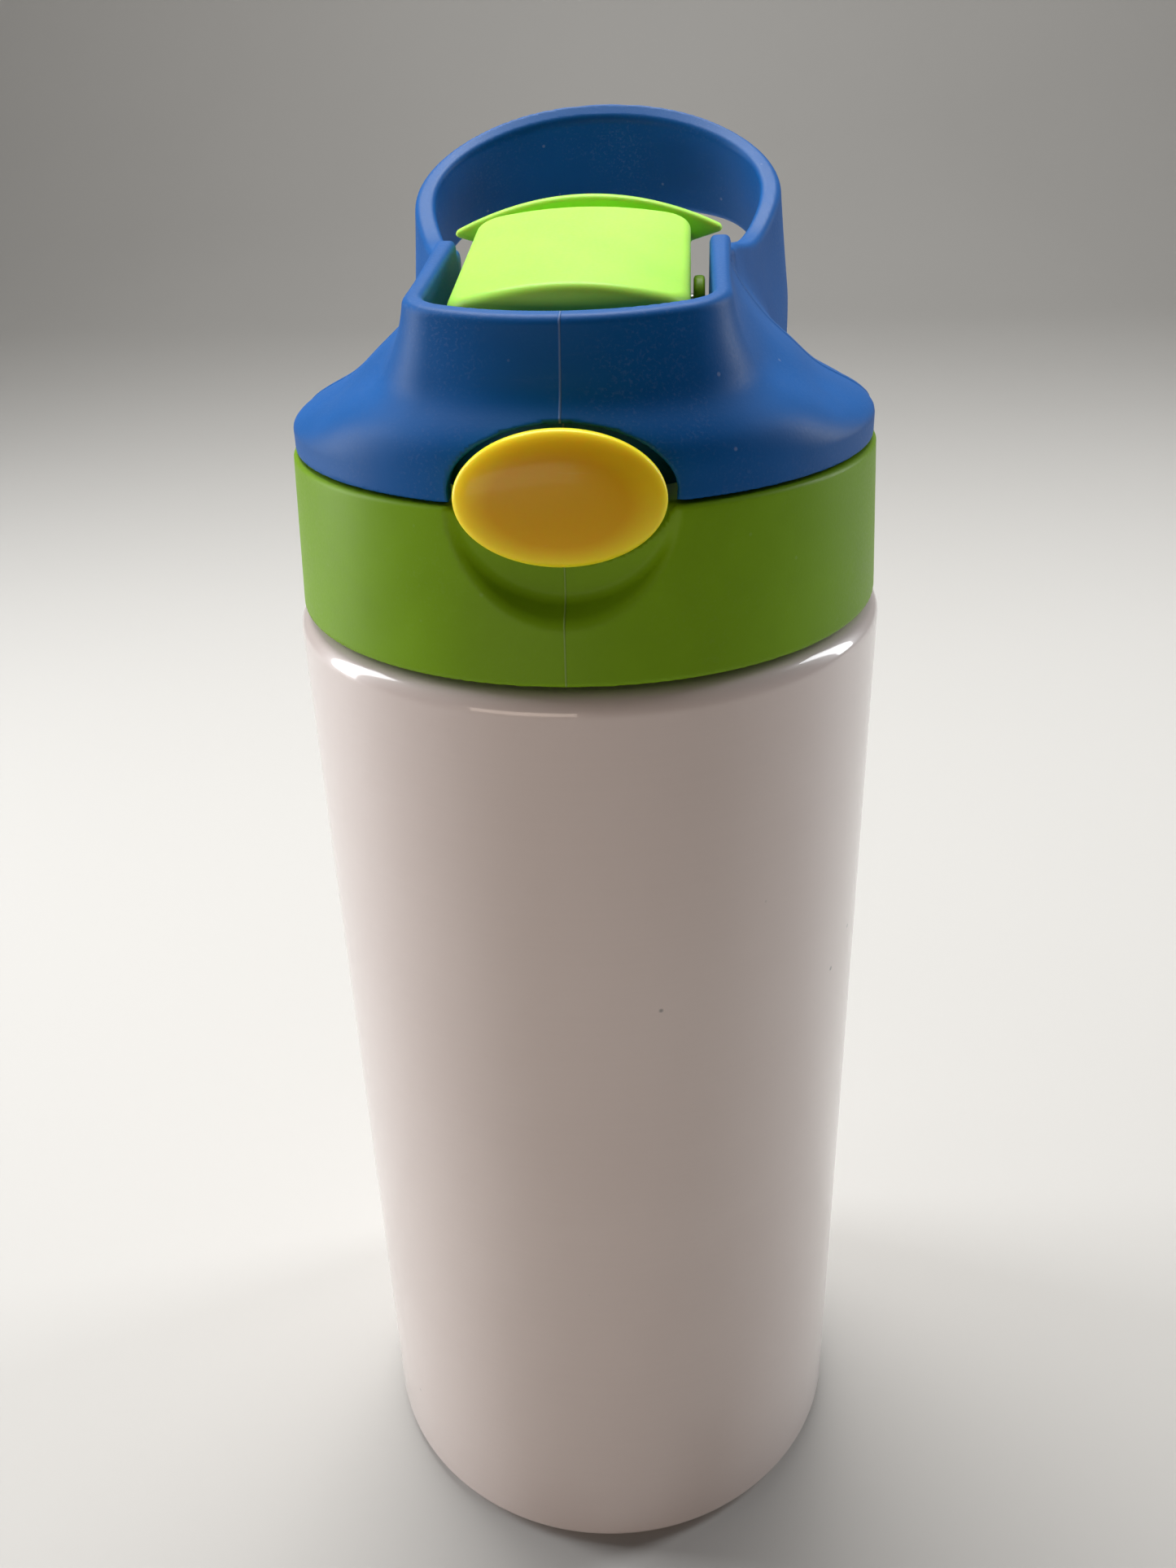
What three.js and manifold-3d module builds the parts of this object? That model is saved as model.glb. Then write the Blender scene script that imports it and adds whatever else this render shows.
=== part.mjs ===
// Kids water bottle: double-wall steel bottle with a flip-top drinking lid and a carry loop.
// Millimetres, +Z up. The origin is the middle of the base, on the bottle's axis.
// The front, with the push button, faces -Y. The carry loop is at the back, +Y.
import * as THREE from 'three';
import { mergeVertices } from 'three/addons/utils/BufferGeometryUtils.js';
import Module from 'manifold-3d';

// ---- Driving dimensions --------------------------------------------------------------------

const GAP = 0.3;                  // clearance between separate pieces that seat on each other
const ROUND = 40;                 // facets round a large turned piece

// Steel bottle
const BODY_R = 36;
const WALL = 0.6;
const SHOULDER_Z = 139.8;         // top of the rolled shoulder
const NECK_R = 29.8;
const NECK_TOP = 151.7;
const LIP_TOP = 152.6;            // welded drinking lip
const LINER_R = 31.3;
const LINER_WALL = 0.5;
const LINER_FLOOR = 6;
const NECK_BOTTOM = 140.6;
const BASE_R = 32.5;              // welded base disc
const THREAD = { pitch: 4, halfRoot: 0.9, halfCrest: 0.5 };

// Lid collar and deck
const COLLAR_BOTTOM = NECK_BOTTOM;
const COLLAR_R_BOTTOM = 35.3;
const COLLAR_R_TOP = 34.35;
const SEAM_Z = 158.9;             // joint line between the collar and the top cover
const DECK_UNDER = 153.4;
const DECK_TOP = 157;
const GASKET = { inner: 27.3, outer: 30, bottom: 152.9, top: 155 };
const COLLAR_BORE = 31.4;
const NECK_BORE = 30.7;           // bore just under the deck, round the bottle's neck

// Push button and the slider that it moves
const BUTTON = { halfWidth: 10.5, halfHeight: 6.8, z: 160.3, back: -33.8, front: -36.4 };
const BOSS = { halfWidth: 6.5, back: -31, bottom: 157.7, top: 163.5 };
const SCOOP = { halfWidth: 13.2, halfHeight: 12.7, floor: -32.1, mouth: -34.6, bevel: 1.6 };
const SLIDER = { halfWidth: 4.4, front: -30.7, back: -16.2 };
const HOOK = { halfWidth: 3.6, front: -18.6, bottom: 168.9, top: 170.3 };
const SPRING_AXIS_Z = 160.3;

// Top cover
const SHROUD_BOTTOM = SEAM_Z + GAP;
const SHROUD_R = 34;
const RIM_FRONT_R = 26.7;         // rim centre line, front arc about the bottle's axis
const RIM_HALF_WIDTH = 16;        // rim centre line, parallel sides
const RIM_CORNER_R = 6;
const RIM_WALL = 2.5;
const RIM_END_Y = 5.5;            // the parallel walls stop here
const RIM_FRONT_Z = 176.4;
const RIM_SLOPE = 0.114;          // the rim climbs towards the back
const REAR_DECK_Z = 162.5;        // cover's deck between the loop's arms
const WELL_BACK_Y = 17.5;
const SKIRT_WALL = 2.6;
const SKIRT_BACK_Y = 27.5;        // back of the skirt's plan at rim height
const ARCH = { halfWidth: 11.4, halfHeight: 6.6, back: -28.4 };
const LOOP_WALL = 2.8;
const LOOP_EDGE_R = 0.9;

// Flip cap, its hinge and the drinking spout
const HINGE = { y: 12.5, z: 171.5 };
const PIN_R = 1;
const PIN_HOLE_R = 1.35;
const KNUCKLE_R = 3.1;
const EAR = { inner: 13, outer: 14.4 };
const KNUCKLE = { inner: 6.2, outer: 12.6 };
const COIL_R = 2;                 // cap spring, round the pin between the knuckles
const CAP_HALF_WIDTH = 12.6;
const CAP_FRONT_R = 22.9;         // the cap's front edge follows the rim
const CAP_REAR_Y = 10.2;
const CAP_SKIRT_Z = 166.8;
const CAP_CREST_Z = 178.8;        // top of the front edge, on the centre line
const CAP_CROWN = 1.6;            // drop of the crowned top at the block's sides
const CAP_WALL = 1.8;
const FIN = { half: 16.5, crestZ: 183.7, tipZ: 179.9, front: 15.4, back: 17.8 };
const SPOUT_PIVOT_Z = 165.3;
const SPOUT_R = 3.8;
const SPOUT_BORE_R = 2;
const ROOT_BALL_R = 4.4;
const STRAW_R = 4.9;
const STRAW_BORE_R = 3.9;
const SOCKET_R = 3.6;
const PORT_R = 4.9;               // the spout's port through the deck
const VENT = { x: 11, stem: 1.25, hole: 1.6 };

const FAR = 200;                  // beyond the part, for open-ended cuts

const COLOURS = {
  white: 0xe9e7ea,
  steel: 0xb9bbbd,
  blue: 0x0f4d9c,
  green: 0x6fae1c,
  lime: 0xa4dc4c,
  yellow: 0xe6bf24,
  clear: 0xe4e6e8,
  silicone: 0xd9dde0,
};

// ---- Small geometry tools ------------------------------------------------------------------

const wasm = await Module();
wasm.setup();

function signedVolume(geometry) {
  const p = geometry.attributes.position;
  const index = geometry.index.array;
  const [a, b, c] = [new THREE.Vector3(), new THREE.Vector3(), new THREE.Vector3()];
  let sum = 0;
  for (let i = 0; i < index.length; i += 3) {
    a.fromBufferAttribute(p, index[i]);
    b.fromBufferAttribute(p, index[i + 1]);
    c.fromBufferAttribute(p, index[i + 2]);
    sum += a.dot(b.cross(c)) / 6;
  }
  return sum;
}

// Merged vertices, faces pointing out.
function closed(geometry) {
  geometry.deleteAttribute('normal');
  geometry.deleteAttribute('uv');
  const merged = mergeVertices(geometry, 1e-4);
  if (signedVolume(merged) < 0) {
    merged.index.array.reverse();
  }
  return merged;
}

function solid(geometry) {
  const g = closed(geometry);
  return new wasm.Manifold(new wasm.Mesh({
    numProp: 3,
    vertProperties: new Float32Array(g.attributes.position.array),
    triVerts: new Uint32Array(g.index.array),
  }));
}

function join(first, ...rest) {
  return rest.reduce((sum, piece) => sum.add(piece), first);
}

function cut(first, ...rest) {
  return rest.reduce((left, piece) => left.subtract(piece), first);
}

function geometryOf(manifold) {
  const mesh = manifold.getMesh();
  const g = new THREE.BufferGeometry();
  g.setAttribute('position', new THREE.BufferAttribute(new Float32Array(mesh.vertProperties), 3));
  g.setIndex(new THREE.BufferAttribute(new Uint32Array(mesh.triVerts), 1));
  return g;
}

// A turned solid about Z. The profile is [radius, z] points, closed on itself or by the axis.
function turned(profile, facets = ROUND) {
  const points = profile.map(([r, z]) => new THREE.Vector2(r, z));
  const onAxis = profile[0][0] === 0 && profile[profile.length - 1][0] === 0;
  if (!onAxis) {
    points.push(points[0].clone());
  }
  return solid(new THREE.LatheGeometry(points, facets).rotateX(Math.PI / 2));
}

function block([x0, x1], [y0, y1], [z0, z1]) {
  const g = new THREE.BoxGeometry(x1 - x0, y1 - y0, z1 - z0);
  return solid(g.translate((x0 + x1) / 2, (y0 + y1) / 2, (z0 + z1) / 2));
}

function rodZ(r, z0, z1, x = 0, y = 0, facets = 24) {
  const g = new THREE.CylinderGeometry(r, r, z1 - z0, facets).rotateX(Math.PI / 2);
  return solid(g.translate(x, y, (z0 + z1) / 2));
}

function rodX(r, x0, x1, y, z, facets = 20) {
  const g = new THREE.CylinderGeometry(r, r, x1 - x0, facets).rotateZ(Math.PI / 2);
  return solid(g.translate((x0 + x1) / 2, y, z));
}

// An outline in plan, [x, y] points, raised from z0 to z1.
function prism(outline, z0, z1) {
  const shape = new THREE.Shape(outline.map(([x, y]) => new THREE.Vector2(x, y)));
  const g = new THREE.ExtrudeGeometry(shape, { depth: z1 - z0, bevelEnabled: false });
  return solid(g.translate(0, 0, z0));
}

// An outline seen from the front, [x, z] points, running from y0 back to y1.
function slab(outline, y0, y1) {
  const shape = new THREE.Shape(outline.map(([x, z]) => new THREE.Vector2(x, z)));
  const g = new THREE.ExtrudeGeometry(shape, { depth: y1 - y0, bevelEnabled: false });
  return solid(g.rotateX(Math.PI / 2).translate(0, y1, 0));
}

// An outline seen from the side, [y, z] points, running from x0 to x1.
function sidePrism(outline, x0, x1) {
  const shape = new THREE.Shape(outline.map(([y, z]) => new THREE.Vector2(y, z)));
  const g = new THREE.ExtrudeGeometry(shape, { depth: x1 - x0, bevelEnabled: false });
  const turn = new THREE.Matrix4().makeBasis(
    new THREE.Vector3(0, 1, 0), new THREE.Vector3(0, 0, 1), new THREE.Vector3(1, 0, 0),
  );
  return solid(g.applyMatrix4(turn).translate(x0, 0, 0));
}

function ellipse(a, b, cz, points = 32) {
  return Array.from({ length: points }, (_, i) => {
    const t = (i / points) * 2 * Math.PI;
    return [a * Math.cos(t), cz + b * Math.sin(t)];
  });
}

// A closed skin over rings of equal point count, with fan caps.
function loft(rings) {
  const n = rings[0].length;
  const positions = rings.flat().flatMap((v) => [v.x, v.y, v.z]);
  const index = [];
  for (let k = 0; k + 1 < rings.length; k += 1) {
    for (let i = 0; i < n; i += 1) {
      const a = k * n + i;
      const b = k * n + ((i + 1) % n);
      index.push(a, b, b + n, a, b + n, a + n);
    }
  }
  [0, rings.length - 1].forEach((k) => {
    const centre = rings[k].reduce((s, v) => s.add(v), new THREE.Vector3()).divideScalar(n);
    const c = positions.length / 3;
    positions.push(centre.x, centre.y, centre.z);
    for (let i = 0; i < n; i += 1) {
      const a = k * n + i;
      const b = k * n + ((i + 1) % n);
      index.push(...(k === 0 ? [b, a, c] : [a, b, c]));
    }
  });
  const g = new THREE.BufferGeometry();
  g.setAttribute('position', new THREE.Float32BufferAttribute(positions, 3));
  g.setIndex(index);
  return solid(g);
}

// A round section swept along points.
function tube(points, radius, steps, sides) {
  const shape = new THREE.Shape();
  shape.absarc(0, 0, radius, 0, 2 * Math.PI);
  const path = new THREE.CatmullRomCurve3(points.map((p) => new THREE.Vector3(...p)));
  return solid(new THREE.ExtrudeGeometry(shape, {
    steps,
    curveSegments: sides / 2,
    extrudePath: path,
  }));
}

// A coil of wire about an axis through centre; axis 'x' or 'y'.
function coil(centre, axis, radius, wire, turns, length) {
  const points = [];
  const perTurn = 8;
  for (let i = 0; i <= turns * perTurn; i += 1) {
    const t = (i / perTurn) * 2 * Math.PI;
    const along = (i / (turns * perTurn) - 0.5) * length;
    const [u, v] = [radius * Math.cos(t), radius * Math.sin(t)];
    const offset = axis === 'x' ? [along, u, v] : [u, along, v];
    points.push(offset.map((d, k) => d + centre[k]));
  }
  return tube(points, wire, turns * perTurn, 6);
}

// A trapezoid thread ridge winding up about Z, from root radius to crest radius.
function threadRidge(root, crest, zStart, fromTurn, toTurn) {
  const perTurn = 30;
  const { pitch, halfRoot, halfCrest } = THREAD;
  const rings = [];
  const count = Math.round((toTurn - fromTurn) * perTurn);
  for (let i = 0; i <= count; i += 1) {
    const turn = fromTurn + i / perTurn;
    const t = turn * 2 * Math.PI;
    const z = zStart + turn * pitch;
    rings.push([[root, -halfRoot], [crest, -halfCrest], [crest, halfCrest], [root, halfRoot]].map(
      ([r, dz]) => new THREE.Vector3(r * Math.cos(t), r * Math.sin(t), z + dz),
    ));
  }
  return loft(rings);
}

// ---- Steel bottle --------------------------------------------------------------------------

function outerWall() {
  const shell = turned([
    [32.8, 0], [34.4, 0.35], [35.5, 1.2], [BODY_R, 2.6],
    [BODY_R, 137], [35.3, 138.9], [33.2, SHOULDER_Z],
    [30.6, 140], [NECK_R, NECK_BOTTOM], [NECK_R, NECK_TOP],
    [NECK_R - WALL, NECK_TOP], [NECK_R - WALL, 139.7],
    [33.2, SHOULDER_Z - WALL], [BODY_R - WALL, 136.6],
    [BODY_R - WALL, 2.8], [34.2, 1.1], [32.8, WALL],
  ]);
  return join(shell, threadRidge(NECK_R - 0.4, 30.6, 143.2, 0, 1.5));
}

function innerLiner() {
  const inner = LINER_R - LINER_WALL;
  const neckOut = NECK_R - WALL - GAP;
  const neckIn = neckOut - WALL;
  return turned([
    [0, LINER_FLOOR], [27, LINER_FLOOR], [LINER_R, LINER_FLOOR + 4],
    [LINER_R, 132], [30.5, 136.5], [neckOut, 139.6],
    [neckOut, NECK_TOP + GAP], [NECK_R + 0.1, NECK_TOP + GAP], [NECK_R - 0.4, LIP_TOP],
    [neckIn + 0.5, LIP_TOP], [neckIn, LIP_TOP - 0.5],
    [neckIn, 139.3], [30, 136], [inner, 131.8],
    [inner, LINER_FLOOR + 4.3], [26.7, LINER_FLOOR + LINER_WALL],
    [0, LINER_FLOOR + LINER_WALL],
  ]);
}

function baseCap() {
  const recess = 0.6;
  return turned([
    [0, 0], [22, 0], [23, recess], [27, recess], [28, 0], [BASE_R, 0],
    [BASE_R, WALL], [28.5, WALL], [27.5, recess + WALL], [22.5, recess + WALL],
    [21.5, WALL], [0, WALL],
  ]);
}

function vacuumGetter() {
  const foot = WALL + GAP;
  const top = foot + 2.3;
  return turned([
    [0, foot], [4.6, foot], [5, foot + 0.4], [5, top - 0.4], [4.6, top], [0, top],
  ], 24);
}

// ---- Lid base ------------------------------------------------------------------------------

function lidGasket() {
  const { inner, outer, bottom, top } = GASKET;
  return turned([[inner, bottom], [outer, bottom], [outer, top], [inner, top]]);
}

// Elliptical rings facing the front, one per [y, half width, half height], as a closed skin.
function frontLoft(sections, z) {
  return loft(sections.map(([y, a, b]) => ellipse(a, b, z)
    .map(([x, up]) => new THREE.Vector3(x, y, up))));
}

// Thumb scoop round the button: a flat floor with bevelled walls, a pocket that the button
// sinks into, and a notch for its boss.
function buttonRecess() {
  const { halfWidth, halfHeight, floor, mouth, bevel } = SCOOP;
  const open = mouth - (floor - mouth);
  const clearance = 0.6;
  return join(
    frontLoft([
      [open, halfWidth + bevel, halfHeight + bevel],
      [floor, halfWidth - bevel, halfHeight - bevel],
    ], BUTTON.z),
    slab(ellipse(BUTTON.halfWidth + clearance, BUTTON.halfHeight + clearance, BUTTON.z),
      open, floor + 0.5),
    block([-BOSS.halfWidth - 0.7, BOSS.halfWidth + 0.7], [open, ARCH.back - GAP],
      [DECK_TOP + 0.2, SEAM_Z + 1]),
  );
}

function hingeEar(side) {
  const [x0, x1] = side > 0 ? [EAR.inner, EAR.outer] : [-EAR.outer, -EAR.inner];
  const half = KNUCKLE_R;
  const ear = join(
    block([x0, x1], [HINGE.y - half, HINGE.y + half], [DECK_TOP - 0.5, HINGE.z]),
    rodX(half, x0, x1, HINGE.y, HINGE.z),
  );
  return cut(ear, rodX(PIN_HOLE_R, x0 - 1, x1 + 1, HINGE.y, HINGE.z));
}

function lidBase() {
  const channelIn = GASKET.inner - GAP;
  const channelOut = GASKET.outer + GAP;
  const channelTop = GASKET.top + GAP;
  const collar = turned([
    [0, DECK_UNDER], [channelIn, DECK_UNDER], [channelIn, channelTop],
    [channelOut, channelTop], [channelOut, DECK_UNDER], [NECK_BORE, DECK_UNDER],
    [NECK_BORE, 151.2], [COLLAR_BORE, 150.8], [COLLAR_BORE, COLLAR_BOTTOM + 0.4],
    [COLLAR_BORE + 0.4, COLLAR_BOTTOM], [COLLAR_R_BOTTOM - 0.5, COLLAR_BOTTOM],
    [COLLAR_R_BOTTOM, COLLAR_BOTTOM + 0.5], [COLLAR_R_TOP, SEAM_Z - 0.4],
    [COLLAR_R_TOP - 0.4, SEAM_Z], [31.9, SEAM_Z], [31.6, DECK_TOP], [0, DECK_TOP],
  ]);
  const sunk = DECK_TOP - 0.5;
  const rails = [-1, 1].map((s) => {
    const [near, far] = [SLIDER.halfWidth + 0.4, SLIDER.halfWidth + 1.6];
    return block(s > 0 ? [near, far] : [-far, -near], [-27, -19.5], [sunk, SEAM_Z - 0.2]);
  });
  const springStop = block([-2.6, 2.6], [-7.9, -6.5], [sunk, 162.6]);
  const [below, above] = [DECK_UNDER - 1, DECK_TOP + 1];
  return cut(
    join(collar, threadRidge(COLLAR_BORE + 0.4, 30.95, 141.2, 0.17, 1.42), hingeEar(-1),
      hingeEar(1), springStop, ...rails),
    buttonRecess(),
    rodZ(PORT_R, below, above),
    rodZ(VENT.hole, below, above, VENT.x, 0, 16),
  );
}

// ---- Top cover with the carry loop ---------------------------------------------------------

// Right half of the rim's plan outline, pushed out by d from the wall's centre line.
function rimHalf(d) {
  const cx = RIM_HALF_WIDTH - RIM_CORNER_R;
  const cy = -Math.sqrt((RIM_FRONT_R - RIM_CORNER_R) ** 2 - cx ** 2);
  const turn = Math.atan2(cx, -cy);
  const points = [];
  for (let i = 0; i <= 4; i += 1) {
    const t = (turn * i) / 4;
    points.push([(RIM_FRONT_R + d) * Math.sin(t), -(RIM_FRONT_R + d) * Math.cos(t)]);
  }
  for (let i = 1; i <= 4; i += 1) {
    const t = turn + ((Math.PI / 2 - turn) * i) / 4;
    points.push([cx + (RIM_CORNER_R + d) * Math.sin(t), cy - (RIM_CORNER_R + d) * Math.cos(t)]);
  }
  [-12, -8, -4, 0, RIM_END_Y].forEach((y) => points.push([RIM_HALF_WIDTH + d, y]));
  return points;
}

// The whole outline: behind the parallel walls it follows the loop's arms, then closes.
function skirtOutline(d) {
  const arms = [[16.2, 9], [16.5, 12], [17.1, 15.5], [17.9, 19], [18.9, 24]]
    .map(([x, y]) => [x + d, y]);
  const back = SKIRT_BACK_Y + d;
  const right = [...rimHalf(d), ...arms, [16, back - 1.5], [11, back - 0.5], [5.5, back]];
  const left = right.slice(1).reverse().map(([x, y]) => [-x, y]);
  return [...right, [0, back], ...left];
}

// The rim climbs to the back, then falls a little along the loop's arms.
function rimTop(y) {
  if (y <= RIM_END_Y) {
    return RIM_FRONT_Z + RIM_SLOPE * (y + RIM_FRONT_R);
  }
  const armTop = 178.2;
  const armFall = 0.08;
  return armTop - armFall * (y - RIM_END_Y);
}

// How far each height has come from the collar's circle (0) to the rim's outline (1). The sides
// slope more evenly than the front, whose shoulder is fuller.
const SWEEP = [
  { z: 162.6, front: 0.006, side: 0.04 },
  { z: 163.6, front: 0.035, side: 0.13 },
  { z: 165.2, front: 0.15, side: 0.33 },
  { z: 166.4, front: 0.31, side: 0.42 },
  { z: 168.2, front: 0.6, side: 0.54 },
  { z: 170.6, front: 0.776, side: 0.7 },
  { z: 173.6, front: 0.907, side: 0.87 },
];

// Rings from the lip at the seam, over the shoulder, up the sweep to the rim.
function shroudRings(circleR, rimOffset, drop) {
  const outline = skirtOutline(rimOffset);
  const low = drop > 0
    ? [[0, SHROUD_BOTTOM - 2], [0, 160.6]]
    : [[-0.3, SHROUD_BOTTOM], [0, SHROUD_BOTTOM + 0.6], [0, 161.4]];
  const sideways = ([x, y]) => THREE.MathUtils.smoothstep(Math.atan2(Math.abs(x), -y), 0.7, 1.3);
  const ring = (front, side, dr, zOf) => outline.map(([x, y]) => {
    const reach = (circleR + dr) / Math.hypot(x, y);
    const s = THREE.MathUtils.lerp(front, side, sideways([x, y]));
    return new THREE.Vector3(
      THREE.MathUtils.lerp(x * reach, x, s),
      THREE.MathUtils.lerp(y * reach, y, s),
      zOf(y),
    );
  });
  return [
    ...low.map(([dr, z]) => ring(0, 0, dr, () => z)),
    ...SWEEP.map(({ z, front, side }) => ring(front, side, 0, () => z - drop)),
    ring(1, 1, 0, (y) => rimTop(y) - drop),
  ];
}

// The well that holds the cap: straight walls down from the rim.
function wellPlan(d, backY) {
  const right = [...rimHalf(d), [RIM_HALF_WIDTH + d, backY]];
  const left = right.slice(1).reverse().map(([x, y]) => [-x, y]);
  return [...right, ...left];
}

// The carry loop: a wall that leaves the well's sides, widens, and closes at the back, leaning
// out towards its foot. Each station gives the wall's top and foot on its centre line.
function carryLoop() {
  const stations = [
    { top: [16.3, 6.5, 178.4], foot: [17.6, 8, 162] },
    { top: [16.9, 12, 178.2], foot: [20.8, 15, 162] },
    { top: [19, 19, 177.6], foot: [23.2, 22.5, 162] },
    { top: [20.6, 24, 178.2], foot: [24.4, 29, 163] },
    { top: [22.2, 29, 180.2], foot: [24.9, 35.5, 166.5] },
    { top: [23.2, 36, 183.6], foot: [24.6, 42, 171] },
    { top: [20.8, 43.8, 187.6], foot: [21.2, 48.5, 176] },
    { top: [13, 49.7, 191.6], foot: [13.2, 54.3, 178.3] },
  ];
  const back = { top: [0, 51.9, 193.5], foot: [0, 57, 179.6] };
  const mirror = ([x, y, z]) => [-x, y, z];
  const curve = (key) => new THREE.CatmullRomCurve3([
    ...stations.map((s) => new THREE.Vector3(...s[key])),
    new THREE.Vector3(...back[key]),
    ...[...stations].reverse().map((s) => new THREE.Vector3(...mirror(s[key]))),
  ], false, 'centripetal');
  const [top, foot] = [curve('top'), curve('foot')];
  const count = 44;
  const half = LOOP_WALL / 2;
  const inner = half - LOOP_EDGE_R;
  const up = new THREE.Vector3(0, 0, 1);
  const rings = Array.from({ length: count + 1 }, (_, i) => {
    const t = i / count;
    const [a, b] = [top.getPoint(t), foot.getPoint(t)];
    const out = top.getTangent(t).cross(up).setZ(0).normalize();
    const at = (p, side, drop) => p.clone().addScaledVector(out, side).setZ(p.z - drop);
    return [at(b, -half, 0), at(b, half, 0), at(a, half, LOOP_EDGE_R), at(a, inner, 0),
      at(a, -inner, 0), at(a, -half, LOOP_EDGE_R)];
  });
  return loft(rings);
}

function topShroud() {
  const half = RIM_WALL / 2;
  const low = SHROUD_BOTTOM - 10;
  const skin = loft(shroudRings(SHROUD_R, half, 0));
  const hollow = cut(
    loft(shroudRings(SHROUD_R - SKIRT_WALL, half - RIM_WALL + 0.1, 1.6)),
    prism(wellPlan(half, WELL_BACK_Y + 2), low, FAR),
    block([-40, 40], [10, 45], [low, FAR]),
  );
  const well = prism(wellPlan(-half, WELL_BACK_Y), low, FAR);
  const gapSide = [[14.75, RIM_END_Y], [15.5, 12], [17.6, 19], [18.9, 24], [18.9, 45]];
  const otherSide = [...gapSide].reverse().map(([x, y]) => [-x, y]);
  const betweenArms = prism([...gapSide, ...otherSide], REAR_DECK_Z, FAR);
  const arch = slab(ellipse(ARCH.halfWidth, ARCH.halfHeight, BUTTON.z), -40, ARCH.back);
  const cover = cut(skin, hollow, well, betweenArms, arch);
  const underLoop = block([-40, 40], [-40, 45], [low, SHROUD_BOTTOM + 1]);
  const curbHalf = 15.5;
  const curb = block([-curbHalf, curbHalf], [WELL_BACK_Y - 1, WELL_BACK_Y + 1.2],
    [SHROUD_BOTTOM, REAR_DECK_Z + 2.5]);
  return join(cover, cut(carryLoop(), well, underLoop), curb);
}

// ---- Hinge and small lid parts -------------------------------------------------------------

function hingePin() {
  const half = EAR.outer - 0.2;
  return rodX(PIN_R, -half, half, HINGE.y, HINGE.z, 16);
}

function capSpring() {
  return coil([0, HINGE.y, HINGE.z], 'x', COIL_R, 0.4, 7, 8.4);
}

function buttonSpring() {
  return coil([0, -12, SPRING_AXIS_Z], 'y', 1.5, 0.3, 5, 6.6);
}

function strawSocket() {
  const bore = 2.6;
  const neck = PORT_R - GAP;
  const underFlange = 151.6;
  return turned([
    [bore, 144], [SOCKET_R - GAP, 144], [SOCKET_R, 144.6], [SOCKET_R, underFlange],
    [6.6, underFlange], [6.6, DECK_UNDER - GAP], [neck, DECK_UNDER - GAP], [neck, 159.2],
    [neck - 0.3, 159.5], [bore, 159.5],
  ], 24);
}

function straw() {
  const [low, high] = [LINER_FLOOR + 4, 151.3];
  return turned([[STRAW_BORE_R, low], [STRAW_R, low], [STRAW_R, high], [STRAW_BORE_R, high]], 24);
}

function ventValve() {
  const valve = turned([
    [0, 152.1], [2.6, 152.1], [3.2, DECK_UNDER - GAP], [VENT.stem, DECK_UNDER - GAP],
    [VENT.stem, DECK_TOP + GAP], [1.9, DECK_TOP + GAP], [1.7, 158.2], [0.8, 158.8], [0, 158.8],
  ], 16);
  return valve.translate([VENT.x, 0, 0]);
}

function spoutBase() {
  const foot = DECK_TOP + GAP;
  return turned([
    [PORT_R, foot], [6.2, foot], [6.2, 158.6], [5.9, 159], [5.6, 160.6], [PORT_R, 160.6],
  ], 24);
}

// The spout lies folded forward; its root is a ball about the pivot, so that it can stand up.
function spoutTube() {
  const path = [[0, 0, SPOUT_PIVOT_Z], [0, -3.6, 167.6], [0, -8, 168.8], [0, -12.8, 169]];
  const bore = [[0, 0, 158], [0, 0, 162.5], [0, -1.4, 166.2], [0, -6, 168.6], [0, -14.5, 169]];
  const ball = new THREE.SphereGeometry(ROOT_BALL_R, 16, 10).translate(0, 0, SPOUT_PIVOT_Z);
  return cut(join(solid(ball), tube(path, SPOUT_R, 8, 16)), tube(bore, SPOUT_BORE_R, 12, 12));
}

// ---- Flip cap ------------------------------------------------------------------------------

// Plan outline of the cap's block, pulled in by d.
function capPlan(d) {
  const corner = 4;
  const cx = CAP_HALF_WIDTH - corner;
  const cy = -Math.sqrt((CAP_FRONT_R - corner) ** 2 - cx ** 2);
  const turn = Math.atan2(cx, -cy);
  const r = Math.max(corner - d, 0.4);
  const right = [];
  for (let i = 0; i <= 4; i += 1) {
    const t = (turn * i) / 4;
    right.push([(CAP_FRONT_R - d) * Math.sin(t), -(CAP_FRONT_R - d) * Math.cos(t)]);
  }
  for (let i = 1; i <= 3; i += 1) {
    const t = turn + ((Math.PI / 2 - turn) * i) / 3;
    right.push([cx + r * Math.sin(t), cy - r * Math.cos(t)]);
  }
  right.push([CAP_HALF_WIDTH - d, -5]);
  const rear = 3;
  const rr = Math.max(rear - d, 0.4);
  for (let i = 0; i <= 3; i += 1) {
    const t = (Math.PI / 6) * i;
    right.push([CAP_HALF_WIDTH - rear + rr * Math.cos(t), CAP_REAR_Y - rear + rr * Math.sin(t)]);
  }
  const left = right.slice(1).reverse().map(([x, y]) => [-x, y]);
  return [...right, [0, CAP_REAR_Y - d], ...left];
}

function capTop(x, y) {
  return CAP_CREST_Z + RIM_SLOPE * (y + CAP_FRONT_R) - CAP_CROWN * (x / CAP_HALF_WIDTH) ** 2;
}

function capBlock(inset, drop) {
  const ring = (extra, zOf) => capPlan(inset + extra)
    .map(([x, y]) => new THREE.Vector3(x, y, zOf(x, y)));
  const top = (sink) => (x, y) => capTop(x, y) - drop - sink;
  const low = CAP_SKIRT_Z - (drop > 0 ? 1 : 0);
  return loft([
    ring(0, () => low), ring(0, top(1)), ring(0.3, top(0.3)), ring(1, top(0)),
    ring(7, top(-0.1)),
  ]);
}

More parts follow.
